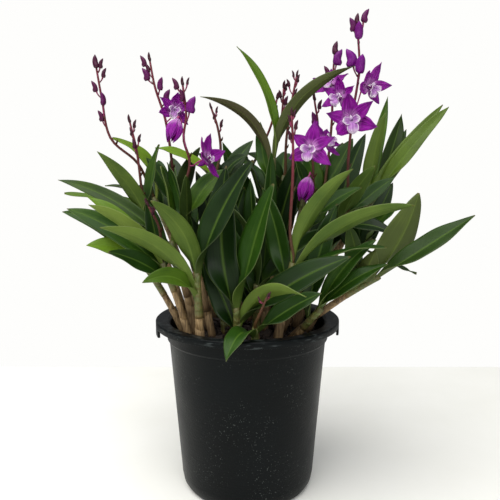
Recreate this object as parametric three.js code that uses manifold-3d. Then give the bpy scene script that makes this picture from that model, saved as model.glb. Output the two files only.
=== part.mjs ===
// A rock dendrobium orchid in flower, standing in a black nursery pot.
// Leafy canes fan out of the bark mix. Many end in a flower spike with buds and open blooms.
// Units are millimetres, +Z is up, the front is -Y, and the origin is the middle of the pot's underside.
import * as THREE from "three";
import { mergeVertices } from "three/addons/utils/BufferGeometryUtils.js";
import Module from "manifold-3d";

const wasm = await Module();
wasm.setup();

// ---------------------------------------------------------------- driving dimensions
const POT_HEIGHT = 122;
const RIM_RADIUS = 65;
const RIM_LIP_HEIGHT = 4.5;
const BODY_TOP_RADIUS = 56.5;
const BODY_FOOT_RADIUS = 47.5;
const COLLAR_HEIGHT = 15; // the slightly wider band under the rim
const WALL = 1.7;
const POT_SIDES = 24;
const TAB_ANGLES = [190, 355]; // degrees round from +X, the two grip tabs under the rim
const DRAIN_HOLES = 6;

const MIX_TOP = 109;
const MIX_SIDES = 18;
const SEAT_GAP = 0.35; // clearance between pieces that touch
const CANE_DEPTH = 18; // how far a cane stands in the mix
const CANE_SIDES = 5;
const CANE_TOP_RADIUS = 1.9;

const BLADE = 0.7; // thickness of a leaf
const PETAL = 0.6; // thickness of a petal
const SHORT_LEAF = 90; // leaves below this length are built in fewer steps
const LONG_LEAF = 110; // and above this length in more
const SHORT_LEAF_STATIONS = [0, 0.24, 0.62, 1];
const LEAF_STATIONS = [0, 0.2, 0.48, 0.8, 1];
const LONG_LEAF_STATIONS = [0, 0.16, 0.38, 0.62, 0.84, 1];
const SMALL_BLOOM = 32; // the same for blooms, from tip to tip
const SMALL_PETAL_STATIONS = [0, 0.5, 1];
const PETAL_STATIONS = [0, 0.4, 0.75, 1];
const FINEST = 0.06; // smaller steps in a surface are left out

// ---------------------------------------------------------------- the plant, cane by cane
// foot: x, y where the cane leaves the mix. top: x, y, z of its tip. r: radius at the foot.
// leaves: tip x, y, z, lift (rise of the arch over its chord), width, roll (degrees, turned to the front).
// spike: points that the flower stem passes, x, y, z.
// buds: share of the way up the spike, then x, y, z from the stem to the bud's base, then its length.
// blooms: share of the way up the spike, centre x, y, z, the way the face looks, size (tip to tip), turn,
//   and "closed" for one that has not opened yet.
const CANES = [
  { foot: [-31, -34], top: [-32, -42, 161], r: 3.2, leaves: [
    [4, -50, 231, 5, 21, 66], [-57, -60, 207, 9, 14, -60], [-88, -59, 191, 10, 13, -65],
    [-62, -66, 159, 9, 13, 60], [-67, -28, 182, 6, 11, -55]] },
  { foot: [-6, -32], top: [-7, -41, 138], r: 3.2, leaves: [
    [16, -54, 217, 2, 23, 70], [-13, -36, 228, -6, 25, 95], [63, -56, 173, 5, 21, 55],
    [34, -78, 153, 14, 12, -50], [-29, -26, 165, 3, 18, 75]] },
  { foot: [20, -34], top: [29, -39, 167], r: 2.6, leaves: [
    [65, -46, 226, 8, 13, -60], [101, -54, 204, 11, 13, -55], [86, -50, 178, 7, 9, 10],
    [10, -21, 214, 4, 16, 70]],
    spike: [[27, -43, 185], [28, -46, 219], [28, -46, 240], [27, -46, 258]],
    buds: [[0.76, -1.4, -1, 3, 6], [0.84, 1.4, -1, 3, 6], [0.9, -1.2, 0, 3, 5], [0.95, 1, 0, 2.5, 5],
      [1, 0, 0, 0, 5]] },
  { foot: [5, -42], top: [5, -50, 127], r: 2.6, leaves: [
    [44, -68, 153, 2, 15, 55], [-12, -82, 116, 10, 15, 0]],
    spike: [[8, -56, 138], [12, -61, 149]],
    buds: [[0.8, -2.5, 0, 1, 4], [0.9, 2, 0, 2, 4], [1, 0, 0, 0, 4]] },
  { foot: [30, -12], top: [86, -34, 157], r: 2.5, leaves: [
    [138, -54, 198, 0, 16, 50], [109, -35, 211, -4, 23, -75], [64, -40, 190, 4, 16, -70],
    [80, -47, 176, -1, 14, -60]] },
  { foot: [30, -26], top: [48, -40, 137], r: 2.5, leaves: [
    [81, -43, 182, 5, 12, 60], [88, -47, 167, 5, 13, 50], [58, -30, 204, 4, 16, 65]] },
  { foot: [12, -2], top: [18, -2, 234], r: 2.6, leaves: [
    [-7, -6, 307, 11, 9, 60], [69, -18, 292, 16, 10, -60], [-30, -24, 272, 16, 8, -45],
    [9, 4, 259, -2, 10, 70]] },
  { foot: [24, 2], top: [68, -8, 197], r: 3.2, leaves: [
    [101, -6, 221, 1, 12, 60], [82, -30, 228, 3, 12, -60], [95, -30, 184, 5, 13, 40],
    [83, 9, 251, 3, 15, 60]],
    spike: [[68, -10, 226], [70, -12, 262], [74, -10, 292], [72, -10, 319]],
    buds: [[0.67, 0.5, -5, 6, 12], [0.71, -3, -1, 6, 12], [0.89, -0.5, -3, 3, 11], [0.93, -2.6, -1, 4, 9],
      [0.94, 3, 0, 9, 9], [1, 0, 0, 0, 8]],
    blooms: [[0.42, 66, -30, 257, [-0.2, -0.95, 0.1], 34, -12],
      [0.5, 79, -20, 279, [0.5, -0.85, 0], 27, 20],
      [0.5, 61, -14, 273, [-0.6, -0.75, 0.2], 26, 0]] },
  { foot: [20, -16], top: [44, -14, 196], r: 2.6, leaves: [
    [30, -20, 234, 4, 13, 60], [75, -23, 214, 4, 13, 50], [60, 7, 208, 3, 13, 70]],
    spike: [[44, -18, 214], [43, -20, 232], [42, -18, 240]],
    buds: [],
    blooms: [[1, 40, -36, 239, [-0.3, -0.93, 0.1], 31, 8], [0.8, 52, -16, 244, [0.5, -0.6, 0.5], 25, 30],
      [0.45, 39, -30, 219, [-0.3, -0.2, -0.93], 20, 0, "closed"]] },
  { foot: [34, 12], top: [93, 14, 207], r: 3.2, leaves: [
    [142, 12, 270, 3, 12, 62], [98, 14, 266, 3, 13, -70], [116, 39, 268, -4, 17, 70],
    [104, 34, 280, 0, 11, 60], [121, 43, 257, -3, 14, 40], [142, 25, 273, 3, 13, 60]] },
  { foot: [6, -18], top: [6, -26, 150], r: 2.6, leaves: [
    [60, -17, 186, 5, 19, 72], [-12, -12, 201, 9, 12, -60], [2, 1, 220, 4, 17, 65],
    [-24, -16, 204, 3, 15, 75], [16, -6, 239, -3, 15, 70], [-20, -10, 176, 3, 14, 60]] },
  { foot: [-38, -26], top: [-55, -34, 166], r: 2.5, leaves: [
    [-98, -46, 204, 6, 12, -55], [-115, -35, 201, 6, 16, 60], [-84, -56, 176, 3, 14, 60]],
    spike: [[-56, -36, 188], [-62, -40, 203]],
    buds: [[0.7, -1.2, -1, 3, 6], [0.85, 1.2, 0, 2, 6], [1, 0, 0, 0, 6]] },
  { foot: [-42, -15], top: [-69, -25, 164], r: 2.5, leaves: [
    [-102, -40, 178, 6, 14, 65], [-123, -20, 198, 9, 14, 60], [-107, -18, 208, 9, 13, 50],
    [-67, -21, 206, 3, 15, 60]] },
  { foot: [-36, -8], top: [-52, -14, 178], r: 3.2, leaves: [
    [-56, -26, 228, 3, 16, 70], [-130, -5, 219, 9, 12, 60]] },
  { foot: [-42, 6], top: [-70, 4, 190], r: 2.6, leaves: [
    [-60, -4, 243, 5, 18, 75], [-101, -11, 238, 5, 12, -65], [-114, -2, 214, 5, 13, -50],
    [-110, 16, 204, 5, 14, 40]],
    spike: [[-74, 2, 212], [-77, 2, 240], [-81, 2, 258]],
    buds: [[0.64, -0.8, -1, 4, 7], [0.7, 1.8, 0, 4, 6], [0.78, -1.3, 0, 3, 6], [0.88, 1, 0, 3, 6],
      [1, 0, 0, 0, 6]] },
  { foot: [-24, -14], top: [-44, -10, 190], r: 2.6, leaves: [
    [-13, -12, 226, 6, 17, 60], [-39, -31, 222, 3, 10, 30], [-56, 4, 231, 3, 17, 105]],
    spike: [[-43, -15, 212], [-38, -17, 230], [-42, -17, 246], [-40, -17, 261], [-42, -17, 280]],
    buds: [[0.74, 3, -2, 6, 11], [0.87, -1.2, -2, 2.4, 8], [0.93, -4, 0, 4.5, 8],
      [0.96, 2.2, 0, 4.5, 5], [1, 0, 0, 0, 6]],
    blooms: [[0.38, -26, -30, 233, [0.8, -0.35, 0.35], 32, 20],
      [0.52, -45, -27, 256, [-0.3, -0.3, -0.9], 20, 0, "closed"]] },
  { foot: [-28, 6], top: [-51, 10, 198], r: 2.6, leaves: [
    [-73, 15, 235, 3, 14, 50], [-34, 14, 242, 4, 16, -60], [-58, 43, 236, 5, 16, 0]],
    spike: [[-53, 8, 226], [-57, 6, 260], [-64, 6, 283], [-67, 6, 300]],
    buds: [[0.59, 2.6, -1, 4, 9], [0.69, 1.6, -2, 3, 9], [0.77, -4, -1, 3, 9], [0.84, -2.5, 0, 3, 7],
      [0.91, -4, 0, 2.6, 8],
      [1, 0, 0, 0, 6]],
    blooms: [[0.5, -49, -5, 266, [0.2, -0.95, 0.15], 25, 16]] },
  { foot: [-36, 22], top: [-70, 28, 206], r: 2.6, leaves: [
    [-98, 20, 249, 12, 11, 50], [-134, 19, 209, 1, 10, 30], [-112, 50, 214, 6, 15, 0],
    [-72, 64, 234, 6, 15, 0]],
    spike: [[-80, 20, 231], [-97, 12, 248], [-102, 10, 276], [-105, 10, 296]],
    buds: [[0.57, -3, -1, 4, 8], [0.63, -0.2, -1, 9, 9], [0.76, -3, -1, 4, 8], [0.87, 2.6, 0, 4, 7],
      [0.95, 1.8, 0, 4, 7], [1, 0, 0, 0, 9]] },
  { foot: [42, 0], top: [88, 2, 178], r: 2.6, leaves: [
    [105, -12, 203, 4, 15, 50], [113, -24, 157, -1, 5, 0], [104, 11, 217, 0, 14, 50],
    [66, 12, 206, 3, 16, 60], [99, 19, 196, 3, 14, 50]] },
  { foot: [-12, 10], top: [-22, 10, 220], r: 2.6, leaves: [
    [-64, 2, 241, 6, 10, 40], [0, 4, 236, 5, 14, 50], [4, 19, 247, 3, 14, 50]],
    spike: [[-19, 10, 240], [-21, 8, 256], [-25, 8, 268]],
    buds: [[0.58, 1.3, 0, 4, 6], [0.7, -1.3, 0, 4, 6], [0.84, 1, 0, 3, 5], [1, 0, 0, 0, 5]] },
  { foot: [21, 11], top: [54, 10, 212], r: 2.6, leaves: [
    [75, 13, 248, 0, 18, 50], [36, 16, 246, 4, 14, 50], [66, 40, 236, 5, 15, 0]],
    spike: [[58, 12, 238], [60, 14, 262], [60, 14, 288], [61, 14, 306]],
    buds: [[0.74, -3, 0, 5, 8], [0.84, 1.6, -1, 4, 11], [1, 0, 0, 0, 9]],
    blooms: [[0.66, 57, 5, 284, [-0.3, -0.75, 0.6], 26, 0]] },
  { foot: [10, 18], top: [27, 20, 222], r: 2.6, leaves: [
    [57, 35, 242, 4, 14, 40], [0, 21, 238, 5, 17, 40], [30, 60, 240, 6, 15, 0]],
    spike: [[28, 20, 246], [31, 20, 270], [35, 20, 292]],
    buds: [[0.72, 2, 0, 5, 6], [0.8, -2.4, 0, 6, 6], [0.88, 1.8, 0, 4, 6], [0.95, -1.2, 0, 3, 5],
      [1, 0, 0, 0, 5]] },
  { foot: [2, 28], top: [14, 34, 212], r: 2.6, leaves: [
    [-14, 56, 238, 6, 15, 0], [16, 78, 226, 7, 15, 0], [-18, 19, 246, -5, 16, 70],
    [-2, 7, 236, 3, 14, 60]],
    spike: [[20, 28, 236], [25, 24, 266], [26, 22, 284]],
    buds: [[0.72, 1.8, -1, 4, 7], [0.8, -1.4, -1, 4, 6], [0.9, 1.2, 0, 4, 6], [1, 0, 0, 0, 6]] },
  { foot: [-14, 26], top: [-10, 36, 204], r: 2.6, leaves: [
    [-40, 44, 240, 5, 17, 20], [-16, 74, 224, 6, 15, 0]],
    spike: [[6, 26, 234], [17, 20, 258], [21, 18, 276]],
    buds: [[0.76, 1.4, -1, 3, 6], [0.88, -1.2, -1, 3, 6], [1, 0, 0, 0, 6]] },
  { foot: [26, 26], top: [42, 30, 204], r: 2.6, leaves: [
    [74, 49, 247, -1, 16, 0], [46, 66, 228, 8, 15, 0]],
    spike: [[46, 22, 232], [50, 14, 256], [47, 10, 274]],
    buds: [[0.68, -1.6, -2, 2, 9], [0.84, 1.4, 0, 3, 7], [1, 0, 0, 0, 6]] },
  { foot: [-26, 34], top: [-48, 50, 176], r: 2.6, leaves: [
    [-90, 50, 214, 7, 20, 60], [-62, 90, 214, 7, 16, 0], [-30, 66, 222, 5, 15, -20]] },
  { foot: [-6, 40], top: [-10, 60, 172], r: 2.6, leaves: [
    [-12, 76, 228, 5, 15, 0], [4, 98, 198, 8, 16, 0]] },
  { foot: [14, 40], top: [30, 60, 178], r: 2.6, leaves: [
    [24, 72, 232, 5, 15, 0], [42, 100, 210, 8, 16, 0]] },
  { foot: [34, 24], top: [72, 42, 176], r: 2.6, leaves: [
    [114, 56, 218, 3, 19, 20], [83, 81, 214, 7, 16, 0], [96, 36, 226, 5, 15, 30],
    [105, 27, 204, 3, 14, 40]] },
  { foot: [-16, -2], top: [-20, 2, 140], r: 2.5, leaves: [
    [-36, 2, 225, 4, 20, 65], [-2, 5, 214, 4, 21, 95], [-42, 26, 190, 5, 15, 20],
    [-23, 2, 226, 12, 19, 70], [-52, 2, 206, 2, 18, 50]] },
  { foot: [10, 10], top: [12, 10, 142], r: 2.5, leaves: [
    [-8, 14, 212, 4, 20, 65], [36, 9, 214, 4, 21, 80], [-6, 32, 196, 5, 14, 0],
    [84, -2, 208, 8, 17, 60], [37, -2, 237, 4, 16, 70]] },
];

// ---------------------------------------------------------------- small helpers
const vec = (p) => new THREE.Vector3(...p);
const UP = vec([0, 0, 1]);
const radians = THREE.MathUtils.degToRad;
const smooth = (t) => t * t * (3 - 2 * t);

// A closed surface over a row of rings that all have the same number of corners. A quad is split from
// its corner a, or from mirroredFrom on from its corner b, so that both faces of a thin blade bend alike.
function loft(rings, mirroredFrom = Infinity) {
  const corners = rings[0].length;
  const position = rings.flat().flatMap((p) => [p.x, p.y, p.z]);
  const index = [];
  for (let ring = 0; ring < rings.length - 1; ring++) {
    for (let i = 0; i < corners; i++) {
      const a = ring * corners + i;
      const b = ring * corners + ((i + 1) % corners);
      if (i < mirroredFrom) index.push(a, b, b + corners, a, b + corners, a + corners);
      else index.push(a, b, a + corners, b, b + corners, a + corners);
    }
  }
  const last = (rings.length - 1) * corners;
  for (let a = 0, b = corners - 1; b - a > 1; ) {
    index.push(b, a + 1, a, last + a, last + a + 1, last + b);
    a++;
    if (b - a > 1) {
      index.push(b, b - 1, a, last + a, last + b - 1, last + b);
      b--;
    }
  }
  const geometry = new THREE.BufferGeometry();
  geometry.setAttribute("position", new THREE.Float32BufferAttribute(position, 3));
  geometry.setIndex(index);
  return geometry;
}

// A three.js geometry as a solid, turned so that its faces point out.
function solid(geometry) {
  const bare = geometry.clone();
  bare.deleteAttribute("normal");
  bare.deleteAttribute("uv");
  const merged = mergeVertices(bare, 1e-4);
  const triVerts = new Uint32Array(merged.index.array);
  const vertProperties = new Float32Array(merged.attributes.position.array);
  const made = new wasm.Manifold(new wasm.Mesh({ numProp: 3, vertProperties, triVerts }));
  if (made.volume() > 0) return made;
  for (let i = 0; i < triVerts.length; i += 3) {
    [triVerts[i + 1], triVerts[i + 2]] = [triVerts[i + 2], triVerts[i + 1]];
  }
  return new wasm.Manifold(new wasm.Mesh({ numProp: 3, vertProperties, triVerts }));
}

// A solid as a three.js geometry.
function geometryOf(made) {
  const mesh = made.getMesh();
  const geometry = new THREE.BufferGeometry();
  geometry.setAttribute("position", new THREE.BufferAttribute(mesh.vertProperties, 3));
  geometry.setIndex(new THREE.BufferAttribute(mesh.triVerts, 1));
  geometry.computeVertexNormals();
  return geometry;
}

// Solids joined into one, with any hollow that is closed in all round filled up.
function joined(solids) {
  const whole = solids.reduce((sum, piece) => sum.add(piece));
  const [outside, ...rest] = whole.decompose().sort((a, b) => b.volume() - a.volume());
  if (rest.some((body) => body.volume() > 0)) throw new Error("a piece lies loose from the rest");
  return outside.simplify(FINEST);
}

// A round rod with few sides along a row of points, with a radius at each.
function rod(points, radii, sides) {
  const steps = points.slice(1).map((point, i) => point.clone().sub(points[i]).normalize());
  const steepest = Math.max(...steps.map((step) => Math.abs(step.z)));
  const across = steepest > 0.9 ? vec([1, 0, 0]) : UP; // a direction that the rod never runs along
  const rings = points.map((point, i) => {
    const before = points[Math.max(i - 1, 0)];
    const after = points[Math.min(i + 1, points.length - 1)];
    const along = after.clone().sub(before).normalize();
    const side = across.clone().cross(along).normalize();
    const other = along.clone().cross(side);
    return Array.from({ length: sides }, (_, k) => {
      const turn = (2 * Math.PI * k) / sides;
      return point
        .clone()
        .addScaledVector(side, radii[i] * Math.cos(turn))
        .addScaledVector(other, radii[i] * Math.sin(turn));
    });
  });
  return loft(rings);
}

// ---------------------------------------------------------------- leaf and petal blades
// The blade's midrib is a bent line from root to tip that rises by lift over its chord, on the side of up.
function bladeOf({ root, tip, lift, width, roll = 0, up = UP, thick = BLADE, shape = leafShape }) {
  const chord = tip.clone().sub(root).normalize();
  const rise = up.clone().addScaledVector(chord, -up.dot(chord)).normalize();
  const bend = root.clone().add(tip).multiplyScalar(0.5).addScaledVector(rise, 2 * lift);
  const side = chord.clone().cross(rise);
  const turn = radians(side.y <= 0 ? roll : -roll);
  const line = new THREE.QuadraticBezierCurve3(root, bend, tip);
  return { root, tip, bend, side, turn, width, thick, shape, line };
}

// How wide and how folded a leaf is, from its root at 0 to its tip at 1.
function leafShape(t) {
  const widest = 0.42;
  const base = 0.18;
  const near = t / widest;
  const far = (t - widest) / (1 - widest);
  const wide = t < widest ? base + (1 - base) * near * (2 - near) : Math.max(1 - far ** 2.3, 0.12);
  return { wide, fold: radians(34 - 18 * smooth(Math.min(t / 0.6, 1))) };
}

// A sepal or petal: broad near its root and tapering to a point.
function petalShape(t) {
  const widest = 0.32;
  const near = t / widest;
  const far = (t - widest) / (1 - widest);
  const wide = t < widest ? 0.55 + 0.45 * near * (2 - near) : Math.max(1 - far ** 2.1, 0.1);
  return { wide, fold: radians(14) };
}

// A lobe of the lip: narrow at its claw, widest near its blunt end.
function lipShape(t) {
  return { wide: 0.4 + 0.9 * t - 0.55 * t * t, fold: radians(28) };
}

// The blade's point at share t along and share u across, raised by off from the middle of its thickness.
function bladePoint(blade, t, u, off = 0) {
  const along = blade.line.getTangent(t);
  const face = blade.side.clone().cross(along);
  const turn = blade.turn * smooth(Math.min(t / 0.45, 1));
  const out = blade.side.clone().multiplyScalar(Math.cos(turn)).addScaledVector(face, -Math.sin(turn));
  const normal = face.multiplyScalar(Math.cos(turn)).addScaledVector(blade.side, Math.sin(turn));
  const { wide, fold } = blade.shape(t);
  const half = (blade.width / 2) * wide;
  return blade.line
    .getPoint(t)
    .addScaledVector(out, u * half * Math.cos(fold))
    .addScaledVector(normal, Math.abs(u) * half * Math.sin(fold) + off);
}

function bladeSolid(blade, stations, across) {
  const rings = stations.map((t) => [
    ...across.map((u) => bladePoint(blade, t, u, blade.thick / 2)),
    ...across.toReversed().map((u) => bladePoint(blade, t, u, -blade.thick / 2)),
  ]);
  return solid(loft(rings, across.length));
}

function stationsOf({ root, tip }) {
  const length = root.distanceTo(tip);
  if (length < SHORT_LEAF) return SHORT_LEAF_STATIONS;
  return length > LONG_LEAF ? LONG_LEAF_STATIONS : LEAF_STATIONS;
}

// ---------------------------------------------------------------- canes
function caneOf(row) {
  const [x, y] = row.foot;
  const top = vec(row.top);
  const surface = vec([x, y, MIX_TOP]);
  const lean = top.clone().sub(surface);
  const sag = vec([-0.1 * lean.x, -0.1 * lean.y, 0.04 * lean.z]);
  const bend = surface.clone().addScaledVector(lean, 0.5).add(sag);
  const line = new THREE.QuadraticBezierCurve3(surface, bend, top);
  const start = line.getTangent(0);
  const foot = surface.clone().addScaledVector(start, -CANE_DEPTH);
  const shares = [0.4, 1];
  const points = [foot, ...shares.map((t) => line.getPoint(t))];
  const radii = [row.r * 0.8, ...shares.map((t) => row.r + (CANE_TOP_RADIUS - row.r) * t)];
  return { line, points, radii, end: line.getTangent(1), length: line.getLength() };
}

// ---------------------------------------------------------------- flower spikes
const SPIKE_FOOT_RADIUS = 1.0;
const SPIKE_TIP_RADIUS = 0.7;
const SPIKE_SIDES = 4;
const PEDICEL_RADIUS = 0.45;
const SMALL_BUD = 9.5; // buds up to this length are three-sided spindles

// Places along a bud, from its widest one to its tip, with the radius there. Larger buds are plumper.
function budProfile(length) {
  const girth = (0.08 + 0.016 * length) * length;
  if (length <= SMALL_BUD) return [[0.42, girth], [1, 0.3]];
  return [[0.38, girth], [0.75, 0.78 * girth], [1, 0.3]];
}

// The stem of a spike, from just over the end of its cane to the bud that crowns it.
function spikeOf(row, cane) {
  const foot = vec(row.top).addScaledVector(cane.end, SEAT_GAP);
  const neck = foot.clone().addScaledVector(cane.end, 3);
  const line = new THREE.CatmullRomCurve3([neck, ...row.spike.map(vec)], false, "centripetal");
  const steps = row.spike.length + 1;
  const joints = line.getPoints(steps);
  const at = (share) => {
    const step = Math.min(Math.floor(share * steps), steps - 1);
    return joints[step].clone().lerp(joints[step + 1], share * steps - step);
  };
  const points = [foot, ...joints];
  const share = (i) => i / (points.length - 1);
  const radii = points.map((_, i) => SPIKE_FOOT_RADIUS + (SPIKE_TIP_RADIUS - SPIKE_FOOT_RADIUS) * share(i));
  const stem = { at, points: [...points], radii: [...radii] };
  const crown = row.buds.find((bud) => bud[0] === 1);
  if (crown) {
    const [length] = crown.slice(-1);
    const end = line.getPoint(1);
    for (const [t, radius] of budProfile(length)) {
      points.push(end.clone().addScaledVector(line.getTangent(1), t * length));
      radii.push(radius);
    }
  }
  return { ...stem, crowned: { points, radii } };
}

// The room that a spike needs where it comes out between the leaves of its own cane.
function sheathHole({ points, radii }) {
  return solid(rod(points.slice(0, 4), radii.slice(0, 4).map((r) => r + SEAT_GAP), SPIKE_SIDES));
}

// A bud that leans out from the stem on its own stalk.
function budOf(spike, [share, x, y, z, length]) {
  const from = spike.at(share);
  const base = from.clone().add(vec([x, y, z]));
  const axis = UP.clone().addScaledVector(vec([x, y, 0]), 0.05).normalize();
  return { from, base, tip: base.clone().addScaledVector(axis, length), length };
}

function budSolid({ from, base, tip, length }) {
  const profile = budProfile(length);
  const points = [from, base, ...profile.map(([t]) => base.clone().lerp(tip, t))];
  const radii = [PEDICEL_RADIUS, PEDICEL_RADIUS * 1.2, ...profile.map(([, radius]) => radius)];
  return solid(rod(points, radii, length > SMALL_BUD ? 4 : 3));
}

// ---------------------------------------------------------------- blooms
// The bloom's own axes: face looks out of the flower, up runs to its top sepal.
function bloomOf([share, x, y, z, face, size, turn, state]) {
  const front = vec(face).normalize();
  const level = UP.clone().cross(front).normalize();
  const up = front.clone().cross(level);
  const angle = radians(turn);
  const top = up.multiplyScalar(Math.cos(angle)).addScaledVector(level, Math.sin(angle));
  const right = front.clone().cross(top);
  return { share, centre: vec([x, y, z]), front, top, right, size, closed: state === "closed" };
}

const SEPAL_ANGLES = [0, 128, 232]; // round from the top of the flower
const PETAL_ANGLES = [64, 296];

function bloomBlades(bloom) {
  const half = bloom.size / 2;
  const ray = (angle, out, ahead) =>
    bloom.centre
      .clone()
      .addScaledVector(bloom.top, out * Math.cos(radians(angle)))
      .addScaledVector(bloom.right, out * Math.sin(radians(angle)))
      .addScaledVector(bloom.front, ahead);
  const tepal = (angle, reach, width, layer) =>
    bladeOf({
      root: ray(angle, 1.4, layer), tip: ray(angle, half * reach, layer + half * 0.2), lift: -half * 0.12,
      width: half * width, up: bloom.front, thick: PETAL, shape: petalShape,
    });
  const lobe = (angle, out, ahead, width, lift) =>
    bladeOf({
      root: ray(180, 1.2, 0.9), tip: ray(angle, half * out, half * ahead), lift: half * lift,
      width: half * width, up: bloom.front, thick: PETAL, shape: lipShape,
    });
  return [
    ...SEPAL_ANGLES.map((angle) => tepal(angle, 1, 0.68, -0.8)),
    ...PETAL_ANGLES.map((angle) => tepal(angle, 0.92, 0.58, 0.1)),
    lobe(180, 0.56, 0.46, 0.52, 0.12),
  ];
}

const COLUMN_SHARE = 0.28;
function bloomSolids(bloom) {
  const half = bloom.size / 2;
  const ahead = (share) => bloom.centre.clone().addScaledVector(bloom.front, half * share);
  const back = ahead(-0.3);
  const middle = bloom.centre.clone();
  if (bloom.closed) {
    return [solid(rod([back, middle, ahead(0.5), ahead(1.1), ahead(1.5)], [1.1, 3, 4, 3, 0.5], 6))];
  }
  const column = ahead(COLUMN_SHARE).addScaledVector(bloom.top, 0.6);
  const hub = rod([back, middle, column], [1.1, 2.8, 0.9], 5);
  const stations = bloom.size < SMALL_BLOOM ? SMALL_PETAL_STATIONS : PETAL_STATIONS;
  return [solid(hub), ...bloomBlades(bloom).map((blade) => bladeSolid(blade, stations, [-1, 1]))];
}

// The stalk from the spike to just behind the bloom.
function stalkOf(spike, bloom) {
  const from = spike.at(bloom.share);
  const behind = (distance) => bloom.centre.clone().addScaledVector(bloom.front, -distance);
  const end = behind(bloom.size * 0.15 + SEAT_GAP);
  const near = behind(bloom.size * 0.15 + 2.5);
  const knee = from.clone().lerp(near, 0.5).add(vec([0, 0, -1]));
  const size = PEDICEL_RADIUS;
  return rod([from, knee, near, end], [size, size, size, size], 3);
}

// ---------------------------------------------------------------- pot and mix
function potSolid() {
  const inner = BODY_TOP_RADIUS - WALL;
  const collar = POT_HEIGHT - COLLAR_HEIGHT;
  const profile = [
    [0, 0], [BODY_FOOT_RADIUS - 6, 0], [BODY_FOOT_RADIUS - 2.7, 1.2], [BODY_FOOT_RADIUS - 0.7, 4.5],
    [BODY_FOOT_RADIUS + 0.3, 10],
    [BODY_TOP_RADIUS - 0.9, collar], [BODY_TOP_RADIUS + 0.6, collar + 1.6],
    [BODY_TOP_RADIUS + 0.9, POT_HEIGHT - 1.8],
    [RIM_RADIUS - 1.6, POT_HEIGHT - 1.6], [RIM_RADIUS - 1.6, POT_HEIGHT - RIM_LIP_HEIGHT],
    [RIM_RADIUS, POT_HEIGHT - RIM_LIP_HEIGHT], [RIM_RADIUS, POT_HEIGHT - 0.6], [RIM_RADIUS - 0.7, POT_HEIGHT],
    [BODY_TOP_RADIUS + 0.2, POT_HEIGHT - 0.6], [inner, POT_HEIGHT - 2.4], [inner - 1, collar],
    [BODY_FOOT_RADIUS - WALL, 7], [BODY_FOOT_RADIUS - 6, 2.4], [0, 2.4],
  ];
  const shell = new THREE.LatheGeometry(profile.map(([r, z]) => new THREE.Vector2(r, z)), POT_SIDES);
  shell.rotateX(Math.PI / 2);
  const holes = Array.from({ length: DRAIN_HOLES }, (_, i) => {
    const angle = (2 * Math.PI * (i + 0.5)) / DRAIN_HOLES;
    const drill = new THREE.CylinderGeometry(3.5, 3.5, 8, 6);
    drill.rotateX(Math.PI / 2);
    drill.translate(32 * Math.cos(angle), 32 * Math.sin(angle), 1);
    return solid(drill);
  });
  const walls = joined([solid(shell), ...TAB_ANGLES.map(tabSolid)]);
  return holes.reduce((rest, hole) => rest.subtract(hole), walls);
}

const TAB_DROP = 5;
const TAB_SPREAD = 20;
function tabSolid(angle) {
  const from = radians(angle - TAB_SPREAD / 2);
  const to = radians(angle + TAB_SPREAD / 2);
  const outline = new THREE.Shape();
  outline.absarc(0, 0, RIM_RADIUS, from, to, false);
  outline.absarc(0, 0, RIM_RADIUS - 1.5, to, from, true);
  const depth = TAB_DROP + 1;
  const tab = new THREE.ExtrudeGeometry(outline, { depth, bevelEnabled: false, curveSegments: 2 });
  tab.translate(0, 0, POT_HEIGHT - RIM_LIP_HEIGHT - TAB_DROP);
  return solid(tab);
}

// The lumpy top of the bark.
function lumps(x, y) {
  return 1.3 * Math.sin(0.33 * x + 1) * Math.cos(0.29 * y) + 0.8 * Math.sin(0.61 * y + 0.17 * x);
}

function mixSolid(canes) {
  const rim = BODY_TOP_RADIUS - WALL - 1.2 - SEAT_GAP;
  const profile = [
    [0, 2.8], [BODY_FOOT_RADIUS - 6.4, 2.8], [BODY_FOOT_RADIUS - WALL - 0.5, 7.4], [rim, MIX_TOP - 3],
    [rim - 5, MIX_TOP - 1], [27, MIX_TOP], [0, MIX_TOP],
  ];
  const body = new THREE.LatheGeometry(profile.map(([r, z]) => new THREE.Vector2(r, z)), MIX_SIDES);
  body.rotateX(Math.PI / 2);
  const at = body.attributes.position;
  for (let i = 0; i < at.count; i++) {
    const inside = Math.hypot(at.getX(i), at.getY(i)) < rim - 1;
    if (at.getZ(i) > MIX_TOP - 3.5 && inside) at.setZ(i, at.getZ(i) + lumps(at.getX(i), at.getY(i)));
  }
  const holes = canes.map(({ points, radii }) => {
    const foot = points[0].clone().lerp(points[1], -SEAT_GAP / points[0].distanceTo(points[1]));
    return solid(rod([foot, points[1]], radii.slice(0, 2).map((r) => r + SEAT_GAP), CANE_SIDES));
  });
  return holes.reduce((rest, hole) => rest.subtract(hole), solid(body));
}

// ---------------------------------------------------------------- the leaves of one cane
const LEAF_SPACING = 5; // along the cane, between one leaf and the next
function leavesOf(row, cane) {
  return row.leaves.map(([x, y, z, lift, width, roll], i) => {
    const share = 1 - (5 + LEAF_SPACING * i) / cane.length;
    const axis = cane.line.getPoint(share);
    const outward = vec([x - axis.x, y - axis.y, 0]).normalize();
    const root = axis.clone().addScaledVector(outward, CANE_TOP_RADIUS * 0.7);
    return bladeOf({ root, tip: vec([x, y, z]), lift, width, roll });
  });
}

// ---------------------------------------------------------------- building the plant
const group = new THREE.Group();
const finish = (color, roughness) => new THREE.MeshStandardMaterial({ color, roughness, metalness: 0 });
function place(name, made, material) {
  const mesh = new THREE.Mesh(geometryOf(made), material);
  mesh.name = name;
  group.add(mesh);
}
const number = (i) => String(i).padStart(2, "0");

const plants = CANES.map((row) => {
  const cane = caneOf(row);
  const spike = row.spike ? spikeOf(row, cane) : null;
  return {
    row, cane, spike,
    buds: spike ? row.buds.filter((bud) => bud[0] < 1).map((bud) => budOf(spike, bud)) : [],
    blooms: (row.blooms ?? []).map(bloomOf),
  };
});

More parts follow.
